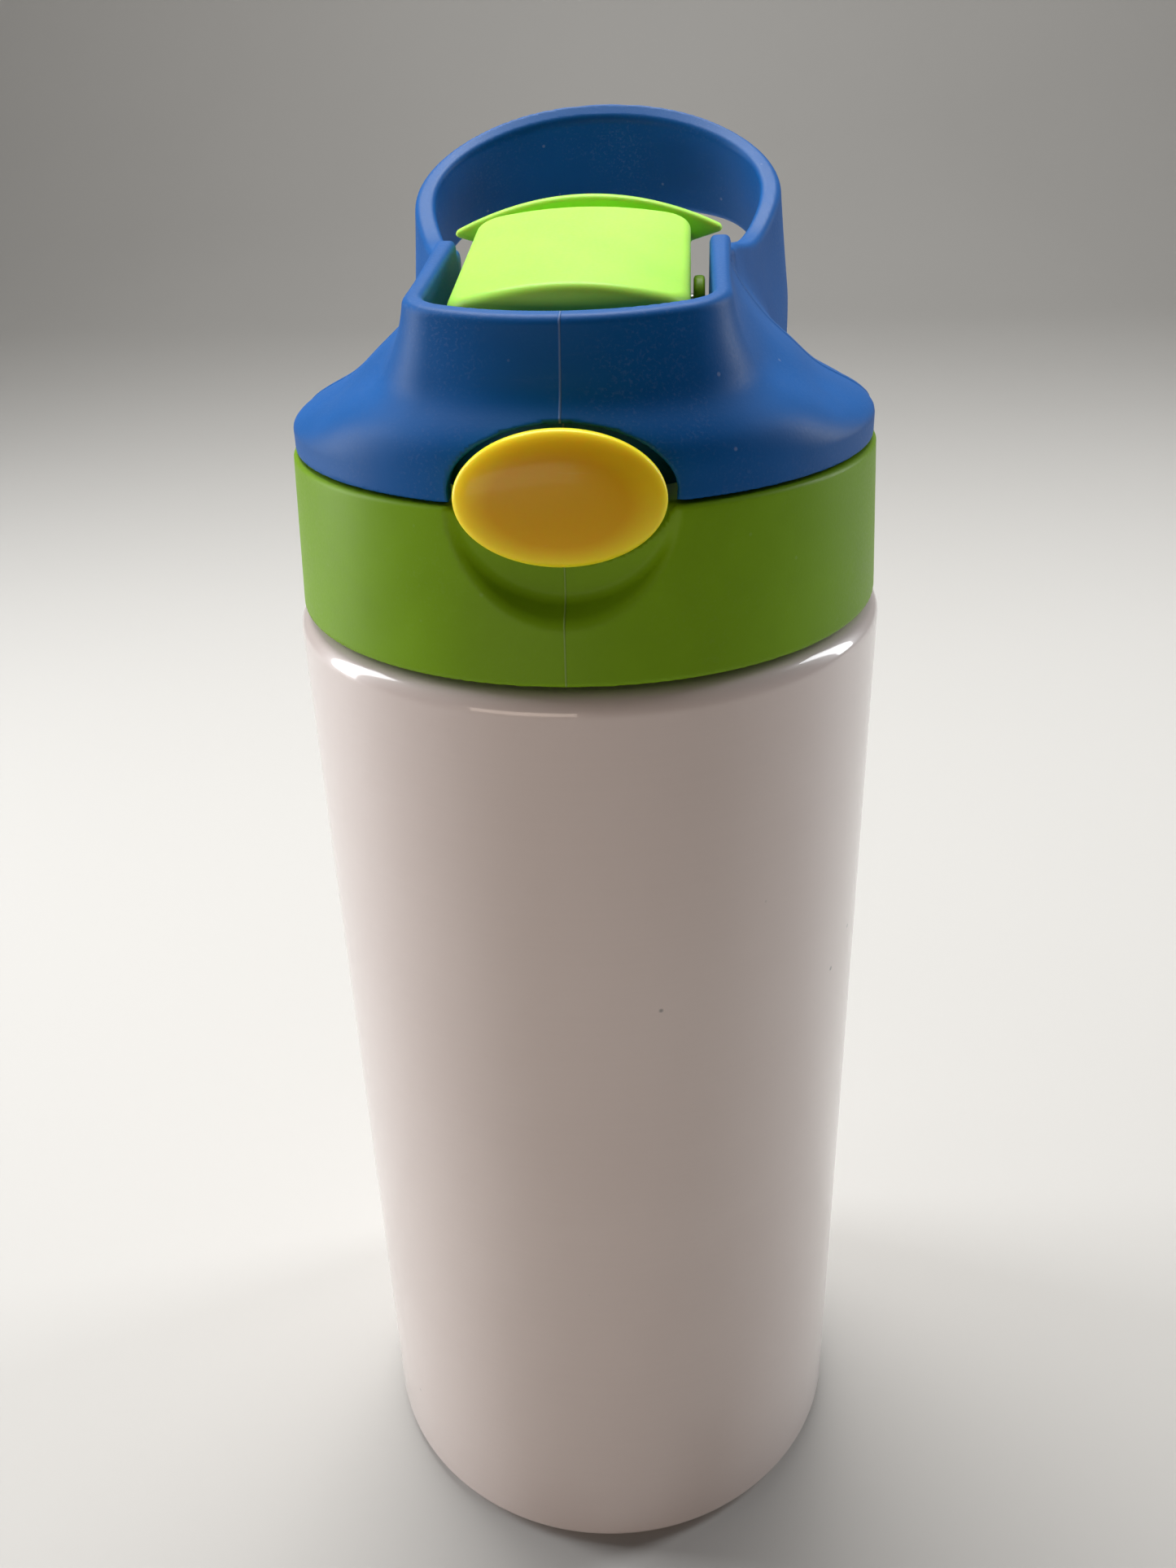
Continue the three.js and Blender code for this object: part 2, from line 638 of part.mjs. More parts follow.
// Thumb flange behind the block, with the step that joins it on: both arched like the top.
function capFin() {
  const arched = (half, low, high) => Array.from({ length: 13 }, (_, i) => {
    const x = half * (1 - i / 6);
    return [x, high - (high - low) * (x / half) ** 2];
  });
  const foot = [[-16.3, 179.2], [-13.2, 178.3], [13.2, 178.3], [16.3, 179.2]];
  const fin = slab([...arched(FIN.half, FIN.tipZ, FIN.crestZ), ...foot], FIN.front, FIN.back);
  const stepHalf = 12.4;
  const step = slab([...arched(stepHalf, 179, 180.7), [-stepHalf, 175.3], [stepHalf, 175.3]],
    CAP_REAR_Y - 2, FIN.front + 0.6);
  return join(fin, step);
}

// Curved cover round the back of the hinge; it turns about the pin with the cap.
function hingeCover() {
  const arc = (r) => Array.from({ length: 10 }, (_, i) => {
    const t = THREE.MathUtils.degToRad(105 - i * 16);
    return [HINGE.y + r * Math.cos(t), HINGE.z + r * Math.sin(t)];
  });
  return sidePrism([...arc(5.7), ...arc(4.5).reverse()], -KNUCKLE.outer, KNUCKLE.outer);
}

function flipCap() {
  const knuckles = [-1, 1].map((s) => {
    const xs = s > 0 ? [KNUCKLE.inner, KNUCKLE.outer] : [-KNUCKLE.outer, -KNUCKLE.inner];
    return join(
      rodX(KNUCKLE_R, ...xs, HINGE.y, HINGE.z),
      block(xs, [HINGE.y - 2.9, HINGE.y + 2.9], [HINGE.z, 176]),
    );
  });
  const tooth = block([-4, 4], [-21.5, -19], [167, 168.5]);
  const springRoom = KNUCKLE.inner - GAP;
  const shell = cut(
    join(capBlock(0, 0), capFin(), hingeCover(), ...knuckles),
    capBlock(CAP_WALL, 2),
    rodX(PIN_HOLE_R, -20, 20, HINGE.y, HINGE.z),
    rodX(COIL_R + 1.5, -springRoom, springRoom, HINGE.y, HINGE.z),
  );
  return join(shell, tooth);
}

function capLiner() {
  return block([-9.2, 9.2], [-15.5, 6.6], [174.6, 175.6]);
}

function spoutSeal() {
  return block([-4.6, 4.6], [-13.4, -5.5], [173.1, 174.3]);
}

// ---- Push button and latch -----------------------------------------------------------------

// A low dome with a rounded edge, and the boss behind it.
function pushButton() {
  const { halfWidth, halfHeight, back, front } = BUTTON;
  const crown = [[back, 1], [front + 1.5, 1], [front + 1.1, 0.95], [front + 0.6, 0.8],
    [front + 0.2, 0.5], [front, 0.15]];
  const dome = frontLoft(crown.map(([y, k]) => [y, halfWidth * k, halfHeight * k]), BUTTON.z);
  return join(dome, block([-BOSS.halfWidth, BOSS.halfWidth], [back - 0.2, BOSS.back],
    [BOSS.bottom, BOSS.top]));
}

// The slider under the button's boss: a plate on the deck, a post, and the hook that holds
// the cap's tooth.
function latchSlider() {
  const xs = [-HOOK.halfWidth, HOOK.halfWidth];
  const postFront = SLIDER.back - 1.8;
  return join(
    block([-SLIDER.halfWidth, SLIDER.halfWidth], [SLIDER.front, SLIDER.back],
      [DECK_TOP + GAP, SEAM_Z]),
    block(xs, [postFront, SLIDER.back], [SEAM_Z - 0.5, HOOK.top]),
    block(xs, [HOOK.front, postFront + 0.5], [HOOK.bottom, HOOK.top]),
  );
}

// ---- The assembly --------------------------------------------------------------------------

const group = new THREE.Group();

function add(name, manifold, colour, roughness, metalness = 0) {
  const material = new THREE.MeshStandardMaterial({ color: colour, roughness, metalness });
  const mesh = new THREE.Mesh(geometryOf(manifold), material);
  mesh.name = name;
  group.add(mesh);
}

add('outer_wall', outerWall(), COLOURS.white, 0.15, 0.1);
add('inner_liner', innerLiner(), COLOURS.steel, 0.3, 1);
add('base_cap', baseCap(), COLOURS.steel, 0.35, 1);
add('vacuum_getter', vacuumGetter(), COLOURS.steel, 0.6, 0.8);

add('lid_gasket', lidGasket(), COLOURS.silicone, 0.6);
add('lid_base', lidBase(), COLOURS.green, 0.45);
add('top_shroud', topShroud(), COLOURS.blue, 0.45);
add('hinge_pin', hingePin(), COLOURS.steel, 0.25, 1);
add('cap_spring', capSpring(), COLOURS.steel, 0.3, 1);
add('button_spring', buttonSpring(), COLOURS.steel, 0.3, 1);
add('straw_socket', strawSocket(), COLOURS.clear, 0.35);
add('straw', straw(), COLOURS.clear, 0.3);
add('vent_valve', ventValve(), COLOURS.silicone, 0.6);
add('spout_base', spoutBase(), COLOURS.silicone, 0.5);
add('spout_tube', spoutTube(), COLOURS.silicone, 0.5);

add('flip_cap', flipCap(), COLOURS.lime, 0.4);
add('cap_liner', capLiner(), COLOURS.lime, 0.45);
add('spout_seal', spoutSeal(), COLOURS.silicone, 0.6);

add('push_button', pushButton(), COLOURS.yellow, 0.3);
add('latch_slider', latchSlider(), COLOURS.clear, 0.4);

export default group;
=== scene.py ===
"""Looks of the kids water bottle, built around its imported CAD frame.

Shapes are worked out in millimetres, in the frame's axes: +Z up, the button at the front (-Y), the
carry loop at the back (+Y). Moulded parts are smooth fields, negative inside the plastic, meshed on
their zero level. Turned parts are lathed from rounded profiles.
"""

import math

import bpy
import numpy as np
import openvdb
from mathutils import Matrix, Vector


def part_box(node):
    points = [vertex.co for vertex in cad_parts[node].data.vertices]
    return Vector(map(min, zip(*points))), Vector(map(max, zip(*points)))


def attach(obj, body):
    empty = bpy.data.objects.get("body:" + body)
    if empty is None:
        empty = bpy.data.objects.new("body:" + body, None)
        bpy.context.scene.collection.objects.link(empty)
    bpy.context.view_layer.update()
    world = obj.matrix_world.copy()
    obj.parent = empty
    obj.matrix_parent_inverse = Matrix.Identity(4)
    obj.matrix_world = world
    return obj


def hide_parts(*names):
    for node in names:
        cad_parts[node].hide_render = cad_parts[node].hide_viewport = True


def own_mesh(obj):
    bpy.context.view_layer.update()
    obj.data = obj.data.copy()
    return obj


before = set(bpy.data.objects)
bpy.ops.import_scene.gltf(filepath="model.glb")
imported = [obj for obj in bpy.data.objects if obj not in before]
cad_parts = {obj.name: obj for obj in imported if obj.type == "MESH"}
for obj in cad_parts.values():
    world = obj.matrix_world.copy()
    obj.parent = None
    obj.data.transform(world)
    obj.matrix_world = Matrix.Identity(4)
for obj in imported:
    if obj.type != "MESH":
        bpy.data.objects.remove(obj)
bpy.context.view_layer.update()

MM = 0.001


def span(node):
    """Lowest and highest corner of a CAD node, in mm."""
    low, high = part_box(node)
    return low / MM, high / MM


# ---- Sizes taken from the frame ------------------------------------------

BODY_R = span("outer_wall")[1].x
NECK_TOP = span("outer_wall")[1].z
LIP_TOP = span("inner_liner")[1].z
LINER_FLOOR = span("inner_liner")[0].z
COLLAR_BOTTOM = span("lid_base")[0].z
COLLAR_R = span("lid_base")[1].x
SHROUD_BOTTOM = span("top_shroud")[0].z
SHROUD_R = span("top_shroud")[1].x
PIN_LOW, PIN_HIGH = span("hinge_pin")
HINGE_Y = (PIN_LOW.y + PIN_HIGH.y) / 2
HINGE_Z = (PIN_LOW.z + PIN_HIGH.z) / 2
CAP_SKIRT = span("flip_cap")[0].z
BUTTON_LOW, BUTTON_HIGH = span("push_button")
BUTTON_Z = (BUTTON_LOW.z + BUTTON_HIGH.z) / 2
BUTTON_HALF = (BUTTON_HIGH.x, (BUTTON_HIGH.z - BUTTON_LOW.z) / 2)
STRAW_LOW, STRAW_HIGH = span("straw")
GAP = 0.3
SEAM = SHROUD_BOTTOM - GAP

# ---- Sizes shared by several pieces --------------------------------------

OUTER_WALL, LINER_WALL = 0.6, 0.5
THREAD_PITCH = 4.0
DECK_UNDER, DECK_TOP = 153.4, 157.0
KNUCKLE_R = 3.1
PIN_HOLE_R = 1.35
SOCKET_HOLE_R = 4.9
VENT_X, VENT_HOLE_R = 11.0, 1.6

# ---- Fields: distances in mm, negative inside ----------------------------


def common(a, b, r=0.0):
    """Where both are; the edge between them gets radius r."""
    if r == 0:
        return np.maximum(a, b)
    outside = np.hypot(np.maximum(a + r, 0), np.maximum(b + r, 0))
    return np.minimum(np.maximum(a, b), -r) + outside


def union(a, b, r=0.0):
    """Where either is; the inner corner between them gets radius r."""
    return -common(-a, -b, r)


def without(a, b, r=0.0):
    """a less b; the edge that the cut leaves gets radius r."""
    return common(a, -b, r)


def between(v, low, high):
    """Distance to the slab from low to high."""
    return np.abs(v - (low + high) / 2) - (high - low) / 2


def box(x, y, z, xs, ys, zs, r=0.0):
    """A block given by its spans in x, y and z, its edges rounded to radius r."""
    return common(common(between(x, *xs), between(y, *ys), r), between(z, *zs), r)


def arc_front(x, y, front_r, half_width, corner):
    """Plan outline: a front arc about the axis between parallel sides, its two corners rounded."""
    ax = np.abs(x)
    core_r, core_x = front_r - corner, half_width - corner
    corner_y = -np.sqrt(core_r**2 - core_x**2)
    arc = np.where(y < 0, np.hypot(x, y), 0) - core_r
    past_corner = (y < corner_y) & (ax * -corner_y > core_x * -y)
    core = np.where(past_corner, np.hypot(ax - core_x, y - corner_y), np.maximum(arc, ax - core_x))
    return core - corner


def ellipse(u, v, a, b):
    """Nearly the distance to an ellipse about the origin with half axes a and b."""
    near, far = np.hypot(u / a, v / b), np.hypot(u / a**2, v / b**2)
    return near * (near - 1) / np.maximum(far, 1e-6)


def polygon(u, v, points):
    """Signed distance to a closed outline in one plane."""
    best = np.full(u.shape, 1e9)
    inside = np.zeros(u.shape, bool)
    for (u0, v0), (u1, v1) in zip(points, points[1:] + points[:1]):
        du, dv = u1 - u0, v1 - v0
        t = np.clip(((u - u0) * du + (v - v0) * dv) / (du * du + dv * dv), 0, 1)
        best = np.minimum(best, (u - u0 - t * du) ** 2 + (v - v0 - t * dv) ** 2)
        if dv:
            crosses = (v0 <= v) != (v1 <= v)
            inside ^= crosses & (u < u0 + (v - v0) * du / dv)
    return np.where(inside, -1, 1) * np.sqrt(best)


class Spline:
    """Cubic spline through knots, straight beyond its ends.

    Its slopes at the ends are first and last, or else those of the first and last stretch.
    """

    def __init__(self, knots, values, first=None, last=None):
        k, v = np.array(knots, float), np.array(values, float)
        h, rise = np.diff(k), np.diff(v) / np.diff(k)
        n = len(k)
        m, rhs = np.zeros((n, n)), np.zeros(n)
        m[0, 0] = m[-1, -1] = 1
        rhs[0] = rise[0] if first is None else first
        rhs[-1] = rise[-1] if last is None else last
        for i in range(1, n - 1):
            m[i, i - 1], m[i, i], m[i, i + 1] = h[i], 2 * (h[i - 1] + h[i]), h[i - 1]
            rhs[i] = 3 * (rise[i - 1] * h[i] + rise[i] * h[i - 1])
        self.k, self.v, self.slope = k, v, np.linalg.solve(m, rhs)

    def __call__(self, x, derivative=False):
        k, v, s = self.k, self.v, self.slope
        clipped = np.clip(x, k[0], k[-1])
        i = np.clip(np.searchsorted(k, clipped) - 1, 0, len(k) - 2)
        h = k[i + 1] - k[i]
        t = (clipped - k[i]) / h
        if derivative:
            inner = (6 * t * t - 6 * t) * (v[i] - v[i + 1]) / h
            return inner + (3 * t * t - 4 * t + 1) * s[i] + (3 * t * t - 2 * t) * s[i + 1]
        start = (2 * t**3 - 3 * t * t + 1) * v[i] + (t**3 - 2 * t * t + t) * h * s[i]
        end = (3 * t * t - 2 * t**3) * v[i + 1] + (t**3 - t * t) * h * s[i + 1]
        past = np.where(x < k[0], s[0], s[-1]) * (x - clipped)
        return start + end + past


# ---- Meshes --------------------------------------------------------------


def add_object(name, data):
    obj = bpy.data.objects.new(name, data)
    bpy.context.scene.collection.objects.link(obj)
    return obj


def mesh_object(name, points, faces, material):
    """A smooth mesh from points in mm."""
    mesh = bpy.data.meshes.new(name)
    mesh.from_pydata((np.asarray(points) * MM).tolist(), [], faces)
    mesh.shade_smooth()
    mesh.materials.append(material)
    return add_object(name, mesh)


def piece(name, points, faces, body, material, replaces=()):
    """A mesh piece of the bottle, riding on a body."""
    obj = mesh_object(name, points, faces, material)
    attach(obj, body)
    if replaces:
        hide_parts(*replaces)
    return obj


def field_piece(name, field, low, high, step, body, material, replaces=()):
    """The zero level of field(x, y, z), meshed on a grid and then moved exactly onto the level."""
    axes = [np.arange(a - 2 * step, b + 3 * step, step) for a, b in zip(low, high)]
    x, y = np.meshgrid(axes[0], axes[1], indexing="ij")
    values = np.stack([field(x, y, np.full_like(x, z)) for z in axes[2]], axis=2)
    far = 3 * step
    grid = openvdb.FloatGrid(far)
    grid.copyFromArray(np.clip(values, -far, far).astype(np.float32))
    points, triangles, quads = grid.convertToPolygons(0.0, 0.0)
    points = points.astype(float) * step + [a[0] for a in axes]
    rounds, least_slope = 4, 0.05
    for _ in range(rounds):
        value, gradient = field_at(field, points)
        move = np.clip(value / np.maximum((gradient**2).sum(1), least_slope), -step / 2, step / 2)
        points -= move[:, None] * gradient
    _, gradient = field_at(field, points)
    faces = triangles.tolist() + quads.tolist()
    obj = piece(name, points, faces, body, material, replaces)
    length = np.linalg.norm(gradient, axis=1, keepdims=True)
    obj.data.normals_split_custom_set_from_vertices((gradient / np.maximum(length, 1e-6)).tolist())
    return obj


def moulded(name, field, node, step, body, material):
    """A field piece that takes the place of a CAD node and is meshed within that node's box."""
    return field_piece(name, field, *span(node), step, body, material, [node])


def field_at(field, points):
    """Value and gradient of a field at scattered points."""
    reach = 0.04
    value = field(*points.T)
    gradient = np.empty_like(points)
    for axis in range(3):
        offset = np.zeros(3)
        offset[axis] = reach
        gradient[:, axis] = (field(*(points + offset).T) - field(*(points - offset).T)) / (2 * reach)
    return value, gradient


def rounded(corners):
    """A profile through corners (u, v, radius), each an arc with a support point either side."""
    steps, most_of_edge, support_share = 6, 0.48, 0.12
    out = []
    n = len(corners)
    for i, (u, v, r) in enumerate(corners):
        here = np.array([u, v], float)
        if r == 0:
            out.append(here)
            continue
        back = np.array(corners[i - 1][:2], float) - here
        on = np.array(corners[(i + 1) % n][:2], float) - here
        back_length, on_length = np.linalg.norm(back), np.linalg.norm(on)
        back, on = back / back_length, on / on_length
        half = math.acos(np.clip(back @ on, -1, 1)) / 2
        setback = min(r / math.tan(half), most_of_edge * back_length, most_of_edge * on_length)
        r = setback * math.tan(half)
        centre = here + (back + on) / np.linalg.norm(back + on) * (r / math.sin(half))
        first, last = here + back * setback, here + on * setback
        a0 = math.atan2(*(first - centre)[::-1])
        turn = (math.atan2(*(last - centre)[::-1]) - a0 + math.pi) % (2 * math.pi) - math.pi
        support = support_share * setback
        out.append(first + back * support)
        for k in range(steps + 1):
            a = a0 + turn * k / steps
            out.append(centre + r * np.array([math.cos(a), math.sin(a)]))
        out.append(last + on * support)
    return out


def lathe_mesh(profile, segments, centre=(0, 0)):
    """Points and faces of a closed profile (r, z) turned about a vertical axis."""
    points, rings = [], []
    for r, z in profile:
        if abs(r) < 1e-6:
            rings.append([len(points)] * segments)
            points.append((centre[0], centre[1], z))
            continue
        rings.append(list(range(len(points), len(points) + segments)))
        for k in range(segments):
            a = 2 * math.pi * k / segments
            points.append((centre[0] + r * math.cos(a), centre[1] + r * math.sin(a), z))
    faces = []
    for a, b in zip(rings, rings[1:] + rings[:1]):
        for k in range(segments):
            face = [a[k], a[(k + 1) % segments], b[(k + 1) % segments], b[k]]
            face = [v for i, v in enumerate(face) if v not in face[:i]]
            if len(face) > 2:
                faces.append(face)
    return points, faces


def lathe(name, corners, body, material, replaces, segments=160, centre=(0, 0)):
    """A turned piece. Corners run anticlockwise in (r, z), so that faces point out."""
    points, faces = lathe_mesh(rounded(corners), segments, centre)
    return piece(name, points, faces, body, material, replaces)


def sweep_mesh(path, radii, sides=32):
    """Points and faces of a round section along a path, one radius per point, closed by fans."""
    path = np.array(path, float)
    tangents = np.gradient(path, axis=0)
    tangents /= np.linalg.norm(tangents, axis=1, keepdims=True)
    no_axis = [0.37, 0.81, 0.46]
    side = np.cross(tangents[0], no_axis)
    points, faces = [], []
    for centre, tangent, r in zip(path, tangents, radii):
        side = side - tangent * (side @ tangent)
        side /= np.linalg.norm(side)
        other = np.cross(tangent, side)
        for k in range(sides):
            a = 2 * math.pi * k / sides
            points.append(centre + r * (math.cos(a) * side + math.sin(a) * other))
    for j in range(len(path) - 1):
        for k in range(sides):
            a, b = j * sides + k, j * sides + (k + 1) % sides
            faces.append([a, b, b + sides, a + sides])
    last = (len(path) - 1) * sides
    faces.append(list(range(sides))[::-1])
    faces.append([last + k for k in range(sides)])
    return points, faces


# ---- Materials -----------------------------------------------------------


class Nodes:
    """Short calls for the node tree of a new material, which is named after its slot."""

    def __init__(self, slot):
        self.material = bpy.data.materials.new(slot)
        self.material["slot"] = slot
        self.material.use_nodes = True
        self.tree = self.material.node_tree
        self.shader = self.tree.nodes["Principled BSDF"]
        self.place = self.add("ShaderNodeTexCoord").outputs["Object"]

    def add(self, kind, **settings):
        node = self.tree.nodes.new(kind)
        for key, value in settings.items():
            setattr(node, key, value)
        return node

    def link(self, source, target):
        self.tree.links.new(source, target)

    def set(self, **values):
        for key, value in values.items():
            self.shader.inputs[key.replace("_", " ")].default_value = value

    def scaled(self, scale):
        node = self.add("ShaderNodeMapping")
        self.link(self.place, node.inputs["Vector"])
        node.inputs["Scale"].default_value = scale
        return node.outputs["Vector"]

    def noise(self, size, detail=3.0, rough=0.55, stretch=(1, 1, 1)):
        """Noise whose blobs are about size mm across."""
        node = self.add("ShaderNodeTexNoise")
        self.link(self.scaled([s / (size * MM) for s in stretch]), node.inputs["Vector"])
        node.inputs["Scale"].default_value = 1
        node.inputs["Detail"].default_value = detail
        node.inputs["Roughness"].default_value = rough
        return node.outputs["Fac"]

    def range(self, value, low, high, to_low=0.0, to_high=1.0):
        node = self.add("ShaderNodeMapRange")
        node.inputs["From Min"].default_value = low
        node.inputs["From Max"].default_value = high
        node.inputs["To Min"].default_value = to_low
        node.inputs["To Max"].default_value = to_high
        self.link(value, node.inputs["Value"])
        return node.outputs["Result"]

    def math(self, operation, a, b):
        node = self.add("ShaderNodeMath", operation=operation)
        for value, socket in ((a, node.inputs[0]), (b, node.inputs[1])):
            if isinstance(value, (int, float)):
                socket.default_value = value
            else:
                self.link(value, socket)
        return node.outputs[0]

    def mix(self, factor, a, b):
        node = self.add("ShaderNodeMix", data_type="RGBA")
        self.link(factor, node.inputs["Factor"])
        for value, socket in ((a, node.inputs["A"]), (b, node.inputs["B"])):
            if isinstance(value, (tuple, list)):
                socket.default_value = (*value, 1)
            else:
                self.link(value, socket)
        return node.outputs["Result"]

    def specks(self, size, share):
        """Scattered dots: a cell of about size mm holds one if its random number is under share."""
        node = self.add("ShaderNodeTexVoronoi")
        self.link(self.scaled([1 / (size * MM)] * 3), node.inputs["Vector"])
        node.inputs["Scale"].default_value = 1
        dot = self.range(node.outputs["Distance"], 0.16, 0.08)
        red = self.add("ShaderNodeSeparateColor")
        self.link(node.outputs["Color"], red.inputs["Color"])
        chosen = self.math("LESS_THAN", red.outputs["Red"], share)
        return self.math("MULTIPLY", dot, chosen)

    def bump(self, height, depth):
        """Surface relief: a height of 0 to 1 stands for depth in mm."""
        node = self.add("ShaderNodeBump")
        node.inputs["Strength"].default_value = 1
        node.inputs["Distance"].default_value = depth * MM
        self.link(height, node.inputs["Height"])
        self.link(node.outputs["Normal"], self.shader.inputs["Normal"])

    def colour(self, value):
        self.link(value, self.shader.inputs["Base Color"])

    def roughness(self, value):
        self.link(value, self.shader.inputs["Roughness"])


def shade(colour, factor):
    return tuple(min(1.0, c * factor) for c in colour)


def whitened(colour, share):
    return tuple((1 - share) * c + share for c in colour)


def plastic(slot, colour, rough, dust, parting=None, glow=0.0):
    """Satin moulded plastic: fine grain, mottled tone, dust in the grain and light scratches.

    dust is the share of dust, parting the half width of a parting line in mm, and glow the share
    of light that spreads inside the plastic.
    """
    grain_depth, ridge_height = 0.012, 6.0
    n = Nodes(slot)
    mottle = n.noise(9, 4)
    tone = n.mix(mottle, shade(colour, 0.88), shade(colour, 1.12))
    fine = n.noise(0.35, 2, 0.6)
    scuffs = n.range(n.noise(2.2, 5, 0.7, (0.25, 1, 2.5)), 0.6, 0.78)
    dusty = n.math("MULTIPLY", n.range(n.noise(13, 3), 0.42, 0.68), n.range(fine, 0.52, 0.72))
    dusty = n.math("ADD", dusty, n.math("MULTIPLY", scuffs, 0.3))
    lint = n.math("MULTIPLY", n.specks(1.7, 0.07), dust * 3)
    dusty = n.math("ADD", n.math("MULTIPLY", dusty, dust), lint)
    pale = whitened(colour, 0.25)
    tone = n.mix(n.math("MINIMUM", dusty, 1.0), tone, pale)
    height = fine
    if parting:
        line = parting_line(n, parting)
        tone = n.mix(n.math("MULTIPLY", line, 0.35), tone, pale)
        height = n.math("ADD", height, n.math("MULTIPLY", line, ridge_height))
    n.colour(tone)
    wear = n.math("ADD", fine, n.math("MULTIPLY", mottle, 0.6))
    n.roughness(n.range(wear, 0.5, 1.1, rough - 0.06, rough + 0.08))
    n.bump(height, grain_depth)
    n.set(Specular_IOR_Level=0.15, Subsurface_Weight=glow, Subsurface_Scale=3 * MM)
    return n.material


def parting_line(n, half_width):
    """The mould's parting line: a fine ridge down the front, where x is 0 and y is negative."""
    split = n.add("ShaderNodeSeparateXYZ")
    n.link(n.place, split.inputs["Vector"])
    edge, crest = half_width * MM, half_width * MM * 0.3
    near = n.range(n.math("ABSOLUTE", split.outputs["X"], 0), edge, crest)
    front = n.math("LESS_THAN", split.outputs["Y"], -20 * MM)
    return n.math("MULTIPLY", near, front)


def button_plastic(slot, edge, core):
    """Polished translucent plastic, amber in the middle, where the plastic is deepest, and yellow
    towards its rim. The lighter yellow at the rim is painted glow, standing in for light that shines
    through the thin edge.
    """
    n = Nodes(slot)
    split = n.add("ShaderNodeSeparateXYZ")
    n.link(n.place, split.inputs["Vector"])
    across = n.math("DIVIDE", split.outputs["X"], BUTTON_HALF[0] * MM)
    above = n.math("SUBTRACT", split.outputs["Z"], BUTTON_Z * MM)
    up = n.math("DIVIDE", above, BUTTON_HALF[1] * MM)
    reach = n.math("ADD", n.math("MULTIPLY", across, across), n.math("MULTIPLY", up, up))
    mottle = n.noise(6, 4)
    # painted glow: the colour turns from amber to a lighter yellow towards the oval's rim, for light
    # shining through the thin edge
    painted_glow_share = n.range(n.math("ADD", reach, n.math("MULTIPLY", mottle, 0.1)), 0.45, 1.05)
    tone = n.mix(painted_glow_share, core, edge)
    hair = n.range(n.noise(0.9, 5, 0.75, (0.12, 1, 1)), 0.66, 0.74)
    n.colour(n.mix(n.math("MULTIPLY", hair, 0.08), tone, whitened(edge, 0.3)))
    n.roughness(n.range(n.math("ADD", mottle, hair), 0.3, 1.6, 0.3, 0.46))
    n.bump(n.noise(1.4, 2), 0.006)
    n.set(Coat_Weight=0.1, Coat_Roughness=0.1, Specular_IOR_Level=0.2)
    n.set(Subsurface_Weight=0.4, Subsurface_Scale=3 * MM)
    return n.material


def white_coat():
    """Gloss polymer coat: faint lines round the body from the steel below, and a few specks."""
    n = Nodes("white_coat")
    lines = n.noise(1.6, 1, 0.3, (0.02, 0.02, 4))
    mottle = n.noise(30, 3)
    tone = n.mix(mottle, (0.64, 0.55, 0.52), (0.69, 0.605, 0.575))
    tone = n.mix(n.range(lines, 0.3, 0.7, 0, 0.02), tone, (0.42, 0.38, 0.37))
    tone = n.mix(n.specks(2.4, 0.006), tone, (0.3, 0.28, 0.27))
    n.colour(tone)
    n.roughness(n.range(n.noise(12, 3), 0.2, 0.8, 0.29, 0.34))
    n.bump(mottle, 0.004)
    n.set(Coat_Weight=0.8, Coat_Roughness=0.05, Coat_IOR=1.5)
    return n.material


def steel(slot, colour=(0.56, 0.57, 0.58), rough=0.28, stretch=(0.08, 0.08, 6)):
    """Steel with brushed lines round the part; an even stretch gives a mottle without lines."""
    n = Nodes(slot)
    lines = n.noise(0.7, 4, 0.7, stretch)
    cloud = n.noise(14, 3)
    n.colour(n.mix(lines, shade(colour, 0.8), shade(colour, 1.15)))
    n.roughness(n.range(n.math("ADD", lines, cloud), 0.6, 1.4, rough - 0.08, rough + 0.12))
    n.bump(lines, 0.01)
    n.set(Metallic=1.0)
    return n.material


def milky(slot, colour, rough):
    """Translucent milky plastic or silicone: light spreads a little way into it."""
    n = Nodes(slot)
    mottle = n.noise(5, 3)
    fine = n.noise(0.4, 2)
    n.colour(n.mix(mottle, shade(colour, 0.93), shade(colour, 1.05)))
    n.roughness(n.range(n.math("ADD", mottle, fine), 0.7, 1.3, rough - 0.06, rough + 0.08))
    n.bump(fine, 0.006)
    n.set(Subsurface_Weight=0.4, Subsurface_Scale=2 * MM, Subsurface_Radius=(1.0, 0.9, 0.8))
    return n.material


WHITE = white_coat()
STEEL = steel("steel")
SPRING_STEEL = steel("spring_steel", (0.5, 0.5, 0.51), 0.25, (1, 1, 1))
GETTER = steel("getter", (0.3, 0.3, 0.31), 0.55, (1, 1, 1))
BLUE = plastic("blue_plastic", (0.001, 0.085, 0.31), 0.48, 0.13, parting=0.16)
GREEN = plastic("green_plastic", (0.17, 0.33, 0.004), 0.42, 0.04, parting=0.13)
LIME = plastic("lime_plastic", (0.38, 0.78, 0.09), 0.4, 0.05, glow=0.35)
# the first colour is the painted glow at the button's rim, the second is the amber of its middle
YELLOW = button_plastic("yellow_plastic", (0.92, 0.78, 0.02), (0.72, 0.40, 0.001))
CLEAR = milky("clear_plastic", (0.74, 0.76, 0.76), 0.3)
SILICONE = milky("silicone", (0.72, 0.74, 0.75), 0.5)

# ---- Steel bottle --------------------------------------------------------


